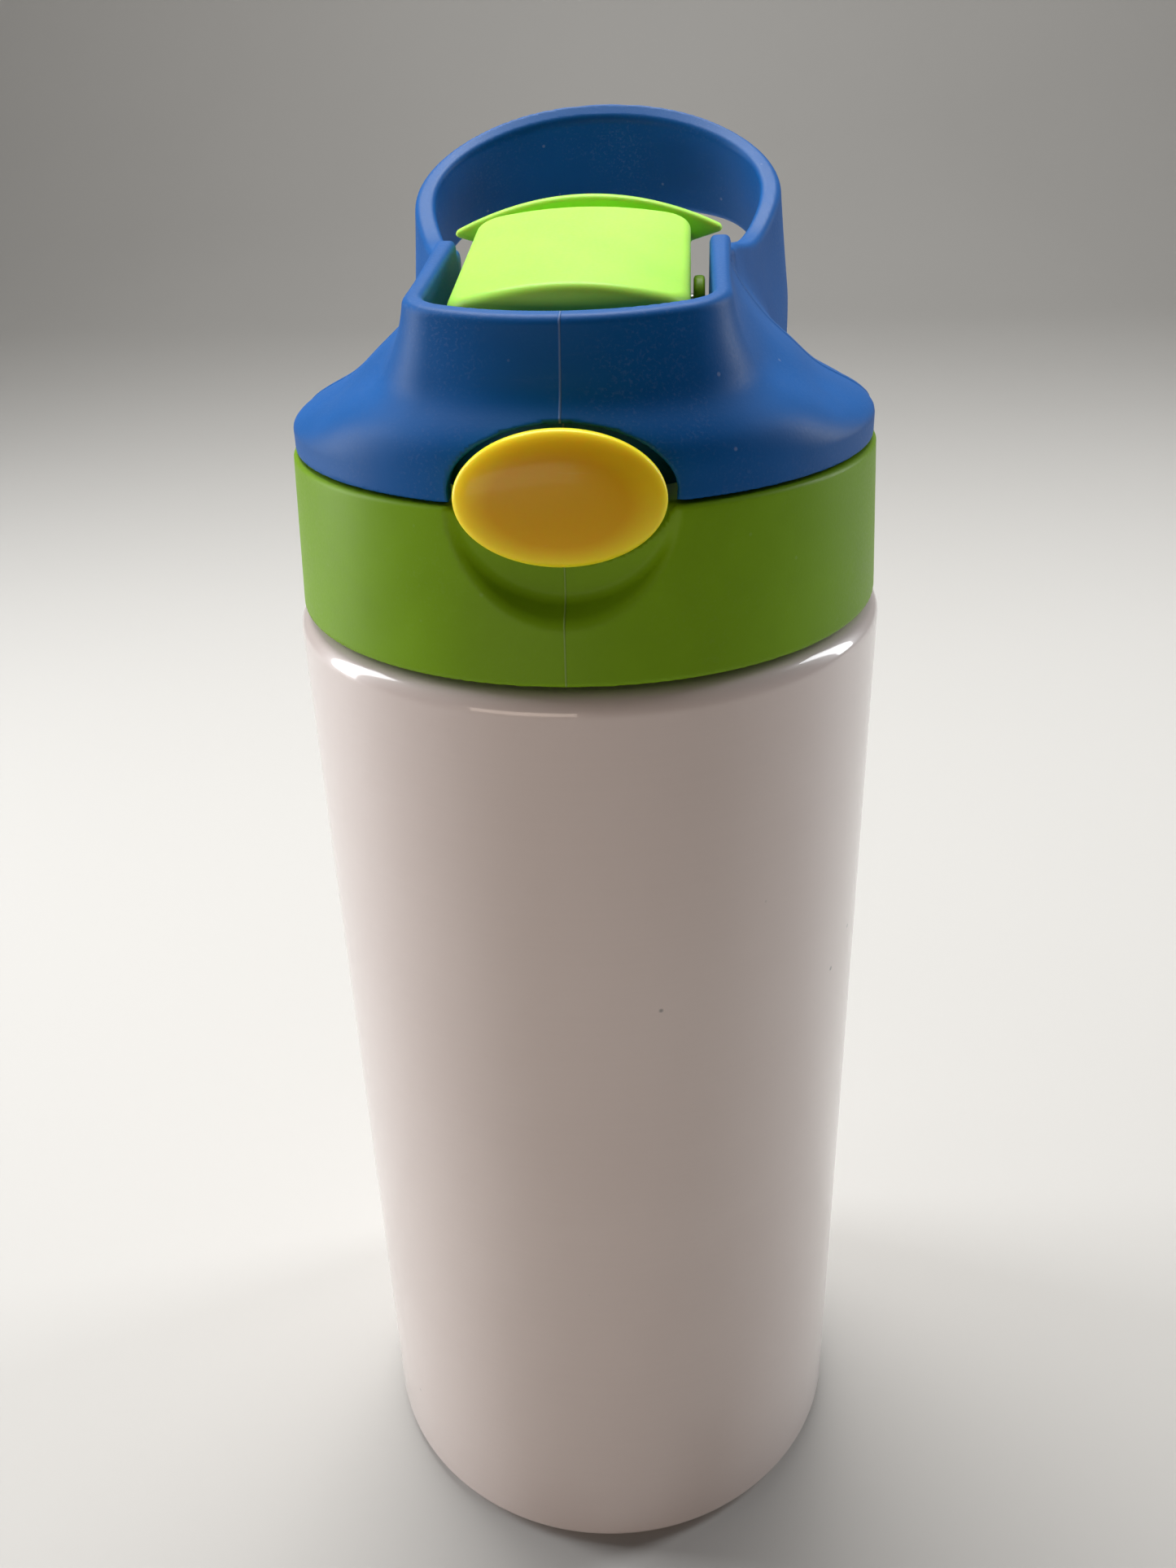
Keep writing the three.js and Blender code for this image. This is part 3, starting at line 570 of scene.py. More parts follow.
def helix_ridge(root, crest, z_start, last):
    """Points and faces of a thread ridge of last turns, whose ends run out into the wall."""
    half_root, half_crest = 0.9, 0.5
    run_out_turns, thinnest = 0.06, 0.02
    turns = np.linspace(0, last, 150)
    run_out = np.clip(np.minimum(turns, last - turns) / run_out_turns, thinnest, 1)
    points, faces = [], []
    for turn, full in zip(turns, run_out):
        a = 2 * math.pi * turn
        top = root + (crest - root) * full
        section = [(root, -half_root), (top, -half_crest), (top, half_crest), (root, half_root)]
        for r, dz in section:
            points.append((r * math.cos(a), r * math.sin(a), z_start + turn * THREAD_PITCH + dz))
    for j in range(len(turns) - 1):
        for k in range(4):
            a, b = 4 * j + k, 4 * j + (k + 1) % 4
            faces.append([a, b, b + 4, a + 4])
    faces.append([3, 2, 1, 0])
    faces.append([len(points) - 4 + k for k in range(4)])
    return points, faces


def body_shell():
    """The outer wall: white outside up to the neck, bare steel on the neck and inside."""
    wall, neck_r, shoulder = OUTER_WALL, 29.8, 139.8
    corners = [
        (32.8, 0.0, 0.2), (34.3, 0.2, 1.2), (BODY_R, 1.7, 1.6), (BODY_R, shoulder - 0.2, 2.4),
        (31.6, shoulder + 0.1, 0.6), (30.3, shoulder + 0.5, 0.6), (neck_r, 141.2, 0.4),
        (neck_r, NECK_TOP, 0.2), (neck_r - wall, NECK_TOP, 0.2), (neck_r - wall, 140.2, 0.8),
        (BODY_R - wall, shoulder - 1.0, 2.0), (BODY_R - wall, 2.0, 1.4), (34.0, 0.9, 0.8),
        (32.8, wall, 0.1),
    ]
    points, faces = lathe_mesh(rounded(corners), 192)
    turned, start = len(faces), len(points)
    thread_points, thread_faces = helix_ridge(neck_r - 0.2, 30.6, 143.2, 1.5)
    points += thread_points
    faces += [[v + start for v in face] for face in thread_faces]
    obj = piece("body_shell", points, faces, "bottle", WHITE, ["outer_wall"])
    obj.data.materials.append(STEEL)
    for i, face in enumerate(obj.data.polygons):
        centre = face.center / MM
        thread = i >= turned
        neck = centre.z > shoulder + 0.75
        faces_in = face.normal.x * face.center.x < -1e-6
        inside = faces_in and math.hypot(centre.x, centre.y) < BODY_R - 0.5
        face.material_index = 1 if thread or neck or inside else 0
    return obj


def liner_shell():
    """The inner wall, closed below, rolled over at the top into the drinking lip."""
    neck_out, neck_in, wall = 28.9, 28.3, LINER_WALL
    corners = [
        (0, LINER_FLOOR, 0), (27, LINER_FLOOR, 4), (31.3, LINER_FLOOR + 4.3, 4), (31.3, 132.5, 6),
        (neck_out, 139.0, 6), (neck_out, NECK_TOP + GAP, 0.1), (29.9, NECK_TOP + GAP, 0.3),
        (29.5, LIP_TOP, 0.5), (neck_in + 0.1, LIP_TOP, 0.5), (neck_in, LIP_TOP - 0.9, 0.6),
        (neck_in, 138.7, 6), (31.3 - wall, 132.2, 6), (31.3 - wall, LINER_FLOOR + 4.6, 4),
        (26.8, LINER_FLOOR + wall, 4), (0, LINER_FLOOR + wall, 0),
    ]
    return lathe("liner_shell", corners, "bottle", STEEL, ["inner_liner"], 192)


def base_disc():
    """The welded base: a flat foot, a shallow ring pressed in, and the flange in the wall's foot."""
    t = OUTER_WALL
    corners = [
        (0, 0, 0), (22, 0, t), (23, t, t), (27, t, t), (28, 0, t), (32.5, 0, 0.25),
        (32.5, t, 0.25), (28.5, t, t), (27.5, 2 * t, t), (22.5, 2 * t, t), (21.5, t, t), (0, t, 0),
    ]
    return lathe("base_disc", corners, "bottle", STEEL, ["base_cap"])


# ---- Lid base ------------------------------------------------------------

SCOOP_HALF = (13.2, 12.7)
EAR_X = (13.0, 14.4)


def hinge_bar(x, y, z, r, xs, edge=0.0):
    """A rod on the hinge's axis."""
    return common(np.hypot(y - HINGE_Y, z - HINGE_Z) - r, between(x, *xs), edge)


def deck_hole(x, y, z, r, x0=0.0):
    """An upright rod through the lid's deck, to cut a hole with."""
    return common(np.hypot(x - x0, y) - r, between(z, 150, 160))


def collar_thread(x, y, z):
    """The lid's thread ridge, standing in from the skirt's bore."""
    crest, first, last, z_start = 30.95, 0.17, 1.42, 141.2
    half_crest, flank_slope = 0.5, 0.4
    r = np.hypot(x, y)
    angle = (np.arctan2(y, x) / (2 * math.pi)) % 1
    ridge = np.full(r.shape, 5.0)
    for whole in (0, 1):
        turn = angle + whole
        from_middle = np.abs(z - z_start - turn * THREAD_PITCH)
        flank = from_middle - half_crest - np.maximum(r - crest, 0) * flank_slope
        ends = np.maximum(first - turn, turn - last) * 2 * math.pi * crest
        ridge = np.minimum(ridge, common(common(crest - r, flank, 0.2), ends))
    return common(ridge, r - 32)


def recess(x, y, z):
    """Thumb scoop round the button: a bevelled hollow, and a pocket that the button sinks into."""
    floor, mouth, bevel = -32.1, -34.6, 1.6
    slope = bevel / (floor - mouth)
    outline = ellipse(x, z - BUTTON_Z, *SCOOP_HALF) + (y - mouth) * slope
    scoop = common(outline / math.hypot(1, slope), y - floor, 0.6)
    a, b = BUTTON_HALF
    pocket = common(ellipse(x, z - BUTTON_Z, a + 0.6, b + 0.6), y - floor - 0.5, 0.4)
    notch = box(x, y, z, (-7.2, 7.2), (-36, -28.7), (DECK_TOP + 0.2, SEAM + 4), 0.3)
    return union(union(scoop, pocket, 0.3), notch)


def lid_base(x, y, z):
    """The green collar: skirt with thread, deck, hinge ears, latch rails and the button's scoop."""
    r = np.hypot(x, y)
    top_r = COLLAR_R - 0.95
    taper = (COLLAR_R - top_r) / (SEAM - COLLAR_BOTTOM)
    outer = (r - COLLAR_R + taper * (z - COLLAR_BOTTOM)) / math.hypot(1, taper)
    solid = common(common(outer, z - SEAM, 0.55), COLLAR_BOTTOM - z, 0.5)
    inside = [
        (-5, DECK_UNDER), (27, DECK_UNDER), (27, 155.3), (30.3, 155.3), (30.3, DECK_UNDER),
        (30.7, DECK_UNDER), (30.7, 151.2), (31.4, 150.8), (31.4, 141.2), (32.2, 138), (-5, 138),
    ]
    solid = without(solid, polygon(r, z, inside), 0.25)
    above = common(r - 31.7, DECK_TOP - z, 0.8)
    solid = without(solid, above, 0.3)
    solid = union(solid, collar_thread(x, y, z), 0.2)
    ax = np.abs(x)
    ear = common(np.hypot(y - HINGE_Y, np.maximum(z - HINGE_Z, 0)) - KNUCKLE_R, DECK_TOP - 0.5 - z)
    ear = common(ear, between(ax, *EAR_X), 0.4)
    rails = box(ax, y, z, (4.8, 6), (-27, -19.5), (DECK_TOP - 0.5, SEAM - 0.2), 0.25)
    stop = box(x, y, z, (-2.6, 2.6), (-7.9, -6.5), (DECK_TOP - 0.5, 162.6), 0.3)
    for part in (ear, rails, stop):
        solid = union(solid, part, 0.5)
    solid = without(solid, hinge_bar(ax, y, z, PIN_HOLE_R, (10, 20)), 0.15)
    solid = without(solid, recess(x, y, z), 0.7)
    solid = without(solid, deck_hole(x, y, z, SOCKET_HOLE_R), 0.2)
    return without(solid, deck_hole(x, y, z, VENT_HOLE_R, VENT_X), 0.2)


def lid_gasket_ring():
    """The lid's sealing ring, with two lips underneath."""
    corners = [
        (27.3, 152.95, 0.3), (28.0, 152.9, 0.2), (28.3, 153.4, 0.2), (28.9, 153.4, 0.2),
        (29.2, 152.9, 0.2), (30.0, 152.95, 0.3), (30.0, 155.0, 0.3), (27.3, 155.0, 0.3),
    ]
    return lathe("lid_gasket_ring", corners, "gasket", SILICONE, ["lid_gasket"])


# ---- Top cover with the carry loop ---------------------------------------

RIM_FRONT_R, RIM_HALF_WIDTH, RIM_CORNER_R = 26.7, 16.0, 6.0
RIM_WALL = 2.5
RIM_END_Y = 5.5
RIM_FRONT_Z, RIM_SLOPE = 176.4, 0.114
REAR_DECK_Z = 162.5
REAR_EDGE_Y = 17.5
REAR_TOP_Z, REAR_SLOPE = 178.3, 0.08
ARCH_HALF = (11.4, 6.5)
ARM_HALF_WIDTH = Spline(
    [-60, 5.5, 9, 12, 15.5, 19, 24, 60], [16, 16, 16.2, 16.5, 17.1, 17.9, 18.9, 21], 0, 0)
ARM_INNER = Spline([5.5, 12, 19, 24, 30, 60], [14.75, 15.5, 17.6, 18.9, 19.2, 19.2], 0.05, 0)
SWEEP_Z = [161.6, 162.6, 163.6, 165.2, 166.4, 168.2, 170.6, 173.6, 177.4]
SWEEP_FRONT = Spline(SWEEP_Z, [0.0, 0.006, 0.035, 0.15, 0.31, 0.6, 0.776, 0.907, 1.0], 0, 0.01)
SWEEP_SIDE = Spline(SWEEP_Z, [0.0, 0.04, 0.13, 0.32, 0.425, 0.545, 0.71, 0.87, 1.0], 0, 0.015)


def rim_plan(x, y, d):
    """Plan distance to the rim's centre line moved out by d."""
    return arc_front(x, y, RIM_FRONT_R, RIM_HALF_WIDTH, RIM_CORNER_R) - d


def skirt_plan(x, y, d):
    """Plan distance to the top of the sweep: the rim, then outside the arms, closed behind."""
    outline = arc_front(x, y, RIM_FRONT_R, ARM_HALF_WIDTH(y), RIM_CORNER_R) - d
    return common(outline, y - 27.5 - d, 8)


def sweep_skin(x, y, z):
    """Distance to the skin that runs from the collar's circle up to the rim."""
    side_from, side_over = 0.7, 0.6
    circle = np.hypot(x, y) - SHROUD_R
    rim = skirt_plan(x, y, RIM_WALL / 2)
    sideways = np.clip((np.arctan2(np.abs(x), -y) - side_from) / side_over, 0, 1)
    sideways = sideways * sideways * (3 - 2 * sideways)
    on_sweep = (z > SWEEP_Z[0]) & (z < SWEEP_Z[-1])
    s, slope = (
        (1 - sideways) * SWEEP_FRONT(z, derivative) + sideways * SWEEP_SIDE(z, derivative)
        for derivative in (False, True)
    )
    s, slope = np.clip(s, 0, 1), np.where(on_sweep, slope, 0)
    return ((1 - s) * circle + s * rim) / np.hypot(1, slope * (rim - circle))


class LoopWall:
    """The carry loop: a wall along a plan curve, its top and bottom edges climbing to the back.

    top and bottom hold the middle of the wall's edges on the +X side, from the arm to the back.
    tilt is how steeply the top edge rises outward where the wall crosses the back.
    """

    half = 1.4
    edge_r = 0.75
    tilt = 0.75
    far = 20.0
    overrun = 0.2
    top = [(16.3, 6.5, 178.4), (16.9, 12, 178.2), (19, 19, 177.6), (20.6, 24, 178.2), (22.2, 29, 180.2),
           (23.2, 36, 183.3), (20.8, 43.8, 186.9), (13, 49.7, 190.5), (0, 51.9, 192.2)]
    bottom = [(17.6, 8, 162), (20.8, 15, 162), (23.2, 22.5, 162), (24.4, 29, 163), (24.9, 35.5, 166.5),
              (24.6, 42, 171), (21.2, 48.5, 176), (13.2, 54.3, 178.3), (0, 57, 179.6)]

    def __init__(self, samples=150):
        steps = np.hypot(*np.diff([p[:2] for p in self.top], axis=0).T)
        knots = np.concatenate([[0], np.cumsum(steps)])
        t = np.linspace(0, knots[-1], samples)
        ends = [(None, -1), (None, 0), (None, 0)]
        a = np.array([Spline(knots, [p[i] for p in self.top], *ends[i])(t) for i in range(3)])
        b = np.array([Spline(knots, [p[i] for p in self.bottom], *ends[i])(t) for i in range(3)])
        self.table = np.concatenate([a, b, np.gradient(a, axis=1), np.gradient(b, axis=1)])

    def __call__(self, x, y, z):
        shape = x.shape
        x, y, z = np.abs(x).ravel(), y.ravel(), z.ravel()
        out = np.full(x.shape, self.far)
        near = np.flatnonzero((y > 2) & ((x > 11) | (y > 42)) & (np.hypot(x, y - 26) > 15))
        batch = 20000
        for part in np.array_split(near, max(1, len(near) // batch)):
            out[part] = self.distance(x[part], y[part], z[part])
        return out.reshape(shape)

    def nearest(self, x, y, z):
        """The sample of the wall nearest to each point."""
        ax, ay, az, bx, by, bz = self.table[:6].astype(np.float32)
        x, y, z = (v[:, None].astype(np.float32) for v in (x, y, z))
        share = np.clip((z - bz) / (az - bz), -self.overrun, 1 + self.overrun)
        dx = bx + share * (ax - bx) - x
        dy = by + share * (ay - by) - y
        return np.argmin(dx * dx + dy * dy, axis=1)

    def at(self, u):
        """The wall's rows at u, a place between two samples."""
        i = np.clip(u.astype(int), 0, self.table.shape[1] - 2)
        return self.table[:, i] + (self.table[:, i + 1] - self.table[:, i]) * (u - i)

    def distance(self, x, y, z):
        """Distance to the wall, worked out across and along it at its nearest place."""
        u = self.nearest(x, y, z).astype(float)
        for _ in range(3):
            ax, ay, az, bx, by, bz, dax, day, daz, dbx, dby, dbz = self.at(u)
            s = np.clip((z - bz) / (az - bz), -self.overrun, 1 + self.overrun)
            px, py = bx + s * (ax - bx), by + s * (ay - by)
            tx, ty = dbx + s * (dax - dbx), dby + s * (day - dby)
            length = np.hypot(tx, ty)
            along = ((x - px) * tx + (y - py) * ty) / length
            across = ((x - px) * ty - (y - py) * tx) / length
            u = np.clip(u + along / length, 0, self.table.shape[1] - 1)
        facing = self.tilt * np.clip(-tx / length, 0, 1) ** 2
        top = az + daz * along / length + facing * across
        low = bz + dbz * along / length
        lean = np.hypot(ax - bx, ay - by) / (az - bz)
        wall = (np.abs(across) - self.half) / np.hypot(1, lean)
        ends = np.maximum((z - top) / np.hypot(1, facing), low - z)
        return common(wall, ends, self.edge_r)


loop_wall = LoopWall()


def shroud(x, y, z):
    """The blue cover: sweep with rim and arms, rear deck, carry loop, well and button arch."""
    skin = sweep_skin(x, y, z)
    inner = rim_plan(x, y, -RIM_WALL / 2)
    rim_top = z - RIM_FRONT_Z - RIM_SLOPE * (y + RIM_FRONT_R)
    front = common(common(skin, rim_top, 0.8), y - RIM_END_Y, 1.0)
    rear = common(skin, z - REAR_TOP_Z + REAR_SLOPE * np.maximum(y - RIM_END_Y, 0), 0.8)
    rear = common(rear, 3 - y)
    loop = common(loop_wall(x, y, z), 6 - y, 1.2)
    arms_gap = common(common(np.abs(x) - ARM_INNER(y), REAR_DECK_Z - z, 2.5), RIM_END_Y - 1 - y)
    rear = without(rear, arms_gap, 1.1)
    solid = union(union(front, rear, 0.5), loop, 0.7)
    solid = common(solid, SHROUD_BOTTOM - z, 0.35)
    curb_y = (REAR_EDGE_Y - 1, REAR_EDGE_Y + 1.2)
    curb = box(x, y, z, (-15.5, 15.5), curb_y, (SHROUD_BOTTOM, 165), 0.7)
    solid = union(solid, curb, 0.8)
    well = common(inner, y - REAR_EDGE_Y, 0.6)
    solid = without(solid, common(well, z - 200), 0.8)
    hollow = common(common(skin + 2.6, 2.4 - inner, 0.5), y - 10)
    solid = without(solid, hollow, 0.2)
    arch = common(ellipse(x, z - BUTTON_Z, *ARCH_HALF), y + 28.4)
    return without(solid, arch, 0.4)


# ---- Flip cap ------------------------------------------------------------

CAP_HALF_WIDTH, CAP_FRONT_R, CAP_REAR_Y = 12.6, 22.9, 10.2
CAP_CREST_Z, CAP_SLOPE, CAP_WALL = 178.5, 0.135, 1.8
CAP_CROWN_FRONT, CAP_CROWN_REAR = 3.0, 1.3
FIN_HALF_WIDTH, FIN_Y, FIN_TOP_Z, FIN_DROP = 16.5, (15.4, 17.8), 183.7, 3.8
STEP_HALF_WIDTH, STEP_Y, STEP_TOP_Z, STEP_DROP = 12.4, (8.2, 16.4), 180.7, 1.7
KNUCKLE_X = (6.2, 12.6)
CAP_SPRING_X, CAP_SPRING_ROOM_R = 5.9, 3.5


def cap_block(x, y, z, inset, drop):
    """The block that fills the well: its top climbs to the back and is crowned, most at the front."""
    plan = arc_front(x, y, CAP_FRONT_R, CAP_HALF_WIDTH, 4) + inset
    plan = common(plan, y - CAP_REAR_Y + inset, 3 - inset)
    back = np.clip((y + CAP_FRONT_R) / (CAP_REAR_Y + CAP_FRONT_R), 0, 1)
    crown = CAP_CROWN_FRONT + (CAP_CROWN_REAR - CAP_CROWN_FRONT) * back
    top = z - CAP_CREST_Z - CAP_SLOPE * (y + CAP_FRONT_R) + crown * (x / CAP_HALF_WIDTH) ** 2 + drop
    return common(plan, top, 0.9)


def cap_fin(x, y, z):
    """The thumb flange behind the block, and the step that joins it on."""
    ax = np.abs(x)
    arch = z - FIN_TOP_Z + FIN_DROP * (x / FIN_HALF_WIDTH) ** 2
    foot = 178.3 + np.clip(ax - 13.2, 0, 3.1) * 0.29 - z
    front_view = common(common(arch, foot, 0.4), ax - FIN_HALF_WIDTH, 0.4)
    fin = common(front_view, between(y, *FIN_Y), 0.7)
    step_top = z - STEP_TOP_Z + STEP_DROP * (x / STEP_HALF_WIDTH) ** 2
    step_plan = common(ax - STEP_HALF_WIDTH, between(y, *STEP_Y))
    step = common(common(step_top, 175.3 - z), step_plan, 0.5)
    return union(fin, step, 0.9)


def hinge_cover(x, y, z):
    """The curved plate that wraps the hinge, from below its back to over its top."""
    middle_r, half_wall = 5.1, 0.6
    middle_angle, half_angle, mm_per_degree = 33, 72, 0.09
    from_pin = np.hypot(y - HINGE_Y, z - HINGE_Z)
    angle = np.degrees(np.arctan2(z - HINGE_Z, y - HINGE_Y))
    past_end = (np.abs(angle - middle_angle) - half_angle) * mm_per_degree
    plate = common(np.abs(from_pin - middle_r) - half_wall, past_end, 0.3)
    return common(plate, np.abs(x) - KNUCKLE_X[1], 0.4)


def flip_cap(x, y, z):
    """The light green cap: hollow block, fin, hinge cover, two knuckles and the latch's tooth."""
    ax = np.abs(x)
    block = common(cap_block(x, y, z, 0, 0), CAP_SKIRT - z, 0.4)
    solid = union(block, cap_fin(x, y, z), 0.5)
    solid = union(solid, hinge_cover(x, y, z), 0.3)
    solid = without(solid, cap_block(x, y, z, CAP_WALL, 2), 0.3)
    root_y = (HINGE_Y - 2.9, HINGE_Y + 2.9)
    knuckle = union(hinge_bar(ax, y, z, KNUCKLE_R, KNUCKLE_X, edge=0.3),
                    box(ax, y, z, KNUCKLE_X, root_y, (HINGE_Z, 176), 0.2))
    solid = union(solid, knuckle, 0.3)
    solid = without(solid, hinge_bar(x, y, z, PIN_HOLE_R, (-20, 20)), 0.1)
    solid = without(solid, hinge_bar(x, y, z, CAP_SPRING_ROOM_R, (-CAP_SPRING_X, CAP_SPRING_X)))
    tooth = box(x, y, z, (-4, 4), (-21.5, -19), (167, 168.5), 0.2)
    return union(solid, tooth, 0.3)


# ---- Button and latch ----------------------------------------------------

BOSS_LOW, BOSS_HIGH = (-6.5, -34, 157.7), (6.5, -31, 163.5)
LATCH_POST_X, LATCH_TOP = (-3.6, 3.6), 170.3


def push_button():
    """The oval button: a low dome with a soft rim, from profile points (share of oval, y)."""
    a, b = BUTTON_HALF
    crown_y, rim_back = BUTTON_LOW.y, BUTTON_LOW.y + 2.6
    dome_depth, fullness, sides = 1.7, 2.6, 96
    shares = [0.0, 0.15, 0.3, 0.45, 0.58, 0.7, 0.79, 0.86, 0.91, 0.95, 0.975, 0.99, 0.998, 1.0]
    profile = [(k, crown_y + dome_depth * (1 - (1 - k**fullness) ** 0.5)) for k in shares]
    profile += [(1.0, rim_back - 0.9), (0.995, rim_back - 0.3), (0.97, rim_back)]
    points, faces = [(0, crown_y, BUTTON_Z)], []
    for k, y in profile[1:]:
        for i in range(sides):
            t = 2 * math.pi * i / sides
            points.append((a * k * math.cos(t), y, BUTTON_Z + b * k * math.sin(t)))
    faces += [[0, 1 + i, 1 + (i + 1) % sides] for i in range(sides)]
    rings = len(profile) - 1
    for j in range(rings - 1):
        for i in range(sides):
            p, q = 1 + j * sides + i, 1 + j * sides + (i + 1) % sides
            faces.append([p, p + sides, q + sides, q])
    last = 1 + (rings - 1) * sides
    faces.append([last + i for i in reversed(range(sides))])
    return piece("button_face", points, faces, "button", YELLOW, ["push_button"])


def button_boss(x, y, z):
    """The block behind the button that the latch is fixed to."""
    return box(x, y, z, *zip(BOSS_LOW, BOSS_HIGH), 0.4)


def latch(x, y, z):
    """The slider: a plate in the rails, and a post whose hook stops just short of the cap's tooth."""
    plate = box(x, y, z, (-4.4, 4.4), (-30.7, -16.2), (DECK_TOP + GAP, SEAM), 0.3)
    post = box(x, y, z, LATCH_POST_X, (-18, -16.2), (SEAM - 0.5, LATCH_TOP), 0.3)
    hook = box(x, y, z, LATCH_POST_X, (-18.6, -17.2), (LATCH_TOP - 1.4, LATCH_TOP), 0.25)
    return union(union(plate, post, 0.4), hook)


# ---- Hinge, springs, straw and spout -------------------------------------


def coil(name, centre, axis, radius, wire, turns, length, body, replaces):
    """A wire spring about the x or y axis through centre."""
    points = []
    points_per_turn = 24
    for t in np.linspace(0, 1, int(turns * points_per_turn)):
        a = 2 * math.pi * turns * t
        along = (t - 0.5) * length
        u, v = radius * math.cos(a), radius * math.sin(a)
        offset = (along, u, v) if axis == "x" else (u, along, v)
        points.append([c + d for c, d in zip(centre, offset)])
    return piece(name, *sweep_mesh(points, [wire] * len(points), 10), body, SPRING_STEEL, replaces)


def hinge_rod():
    """The hinge's steel pin, with rounded ends: each end point is a depth and a radius."""
    half = PIN_HIGH.x
    end = [(0, 0.6), (0.1, 0.85), (0.4, 1.0)]
    stations = [(-half + depth, r) for depth, r in end]
    stations += [(x, 1.0) for x in np.linspace(-half + 0.8, half - 0.8, 9)]
    stations += [(half - depth, r) for depth, r in reversed(end)]
    path = [(x, HINGE_Y, HINGE_Z) for x, _ in stations]
    points, faces = sweep_mesh(path, [r for _, r in stations])
    return piece("hinge_rod", points, faces, "lid", STEEL, ["hinge_pin"])


def straw_pipe():
    """The straw, open at both ends."""
    (bore, outside), low, high = (3.9, 4.9), STRAW_LOW.z, STRAW_HIGH.z
    corners = [(bore, low, 0.2), (outside, low, 0.3), (outside, high, 0.3), (bore, high, 0.2)]
    return lathe("straw_pipe", corners, "straw", CLEAR, ["straw"], 64)


def socket_pipe():
    """The tube through the deck, with a flange under it and a nozzle for the straw."""
    bore = 2.6
    corners = [
        (bore, 144, 0.15), (3.3, 144, 0.3), (3.6, 144.6, 0.4), (3.6, 151.6, 0.2), (6.6, 151.6, 0.3),
        (6.6, 153.1, 0.3), (4.6, 153.1, 0.2), (4.6, 159.2, 0.3), (4.3, 159.5, 0.2), (bore, 159.5, 0.2),
    ]
    return lathe("socket_pipe", corners, "lid", CLEAR, ["straw_socket"], 64)


def vent_plug():
    """The umbrella valve: a skirt under the deck, a stem through it and a knob above it."""
    corners = [
        (0, 152.1, 0), (2.6, 152.1, 0.3), (3.2, 153.1, 0.15), (1.25, 153.1, 0.2), (1.25, 157.3, 0.2),
        (1.9, 157.3, 0.15), (1.7, 158.2, 0.4), (0.8, 158.8, 0.3), (0, 158.8, 0),
    ]
    return lathe("vent_plug", corners, "lid", SILICONE, ["vent_valve"], 40, (VENT_X, 0))


def spout_flange():
    """The silicone boot round the socket, just under the spout's root."""
    corners = [
        (4.9, 157.3, 0.1), (6.2, 157.3, 0.3), (6.2, 158.6, 0.3), (5.9, 159.1, 0.4), (5.6, 160.6, 0.3),
        (4.9, 160.6, 0.2),
    ]
    return lathe("spout_flange", corners, "lid", SILICONE, ["spout_base"], 64)


def along_path(x, y, z, path, radii):
    """Distance to a round tube along path, points (y, z) where x is 0, with one radius per point."""
    best = np.full(x.shape, 1e9)
    for (py, pz), r in zip(path, radii):
        best = np.minimum(best, np.sqrt(x**2 + (y - py) ** 2 + (z - pz) ** 2) - r)
    return best


def spout_path(knots, ys, zs, count):
    """Points (y, z) on a smooth path. The knots say about how far along it each place is, in mm."""
    t = np.linspace(knots[0], knots[-1], count)
    return list(zip(Spline(knots, ys)(t), Spline(knots, zs)(t)))


SPOUT_PIVOT_Z = 165.3
SPOUT_R, SPOUT_BALL_R, SPOUT_BORE_R = 3.62, 4.38, 2.0
SPOUT_TIP_Y = span("spout_tube")[0].y
SPOUT_PATH = spout_path([0, 4, 9, 15], [0, -3.6, -8, -14], [SPOUT_PIVOT_Z, 167.5, 168.7, 168.9], 70)
BORE_PATH = spout_path([0, 5, 9, 14, 24], [0, 0, -1.4, -6, -16], [158, 162.5, 166.2, 168.5, 168.9], 90)


def spout_tube(x, y, z):
    """Soft drinking tube: a ball root above the flange, ripples at its fold, a bead near its tip."""
    shares = np.linspace(0, 1, len(SPOUT_PATH))
    ripples = 0.16 * np.sin(shares * 40) * np.exp(-((shares - 0.38) / 0.16) ** 2)
    bead = 0.15 * np.exp(-((shares - 0.85) / 0.05) ** 2)
    tube = along_path(x, y, z, SPOUT_PATH, SPOUT_R + ripples + bead)
    tube = common(tube, SPOUT_TIP_Y + 0.02 - y, 0.5)
    ball = np.sqrt(x**2 + y**2 + (z - SPOUT_PIVOT_Z) ** 2) - SPOUT_BALL_R
    solid = union(tube, ball, 0.9)
    bore = along_path(x, y, z, BORE_PATH, [SPOUT_BORE_R] * len(BORE_PATH))
    return without(solid, bore, 0.4)


def liner_pad(x, y, z):
    """Inner plate of the cap, with a shallow rib round its edge."""
    rib_inset, rib_half, rib_height = 1.1, 0.5, 0.25
    low, high = span("cap_liner")
    plate = box(x, y, z, (low.x, high.x), (low.y, high.y), (low.z + rib_height, high.z), 0.25)
    mid_y, half_y = (low.y + high.y) / 2, (high.y - low.y) / 2
    outline = np.maximum(np.abs(x) - high.x, np.abs(y - mid_y) - half_y)
    rib = common(np.abs(outline + rib_inset) - rib_half, between(z, low.z, high.z), 0.2)
    return union(plate, rib, 0.2)


def seal_pad(x, y, z):
    """Soft pad that presses on the folded spout, with a raised lip."""
    low, high = span("spout_seal")
    mid_y, half_y = (low.y + high.y) / 2, (high.y - low.y) / 2
    outline = common(np.abs(x) - high.x, np.abs(y - mid_y) - half_y, 2)
    pad = common(outline, between(z, low.z + 0.3, high.z), 0.25)
    lip = common(np.abs(outline + 1.0) - 0.4, between(z, low.z, high.z), 0.25)
    return union(pad, lip, 0.2)


# ---- The pieces ----------------------------------------------------------


def carry_over(node, material):
    """A CAD node that stays as it is, with a finish of its own."""
    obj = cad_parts[node]
    obj.data.materials.clear()
    obj.data.materials.append(material)


body_shell()
liner_shell()
base_disc()
carry_over("vacuum_getter", GETTER)
lid_gasket_ring()
straw_pipe()
socket_pipe()

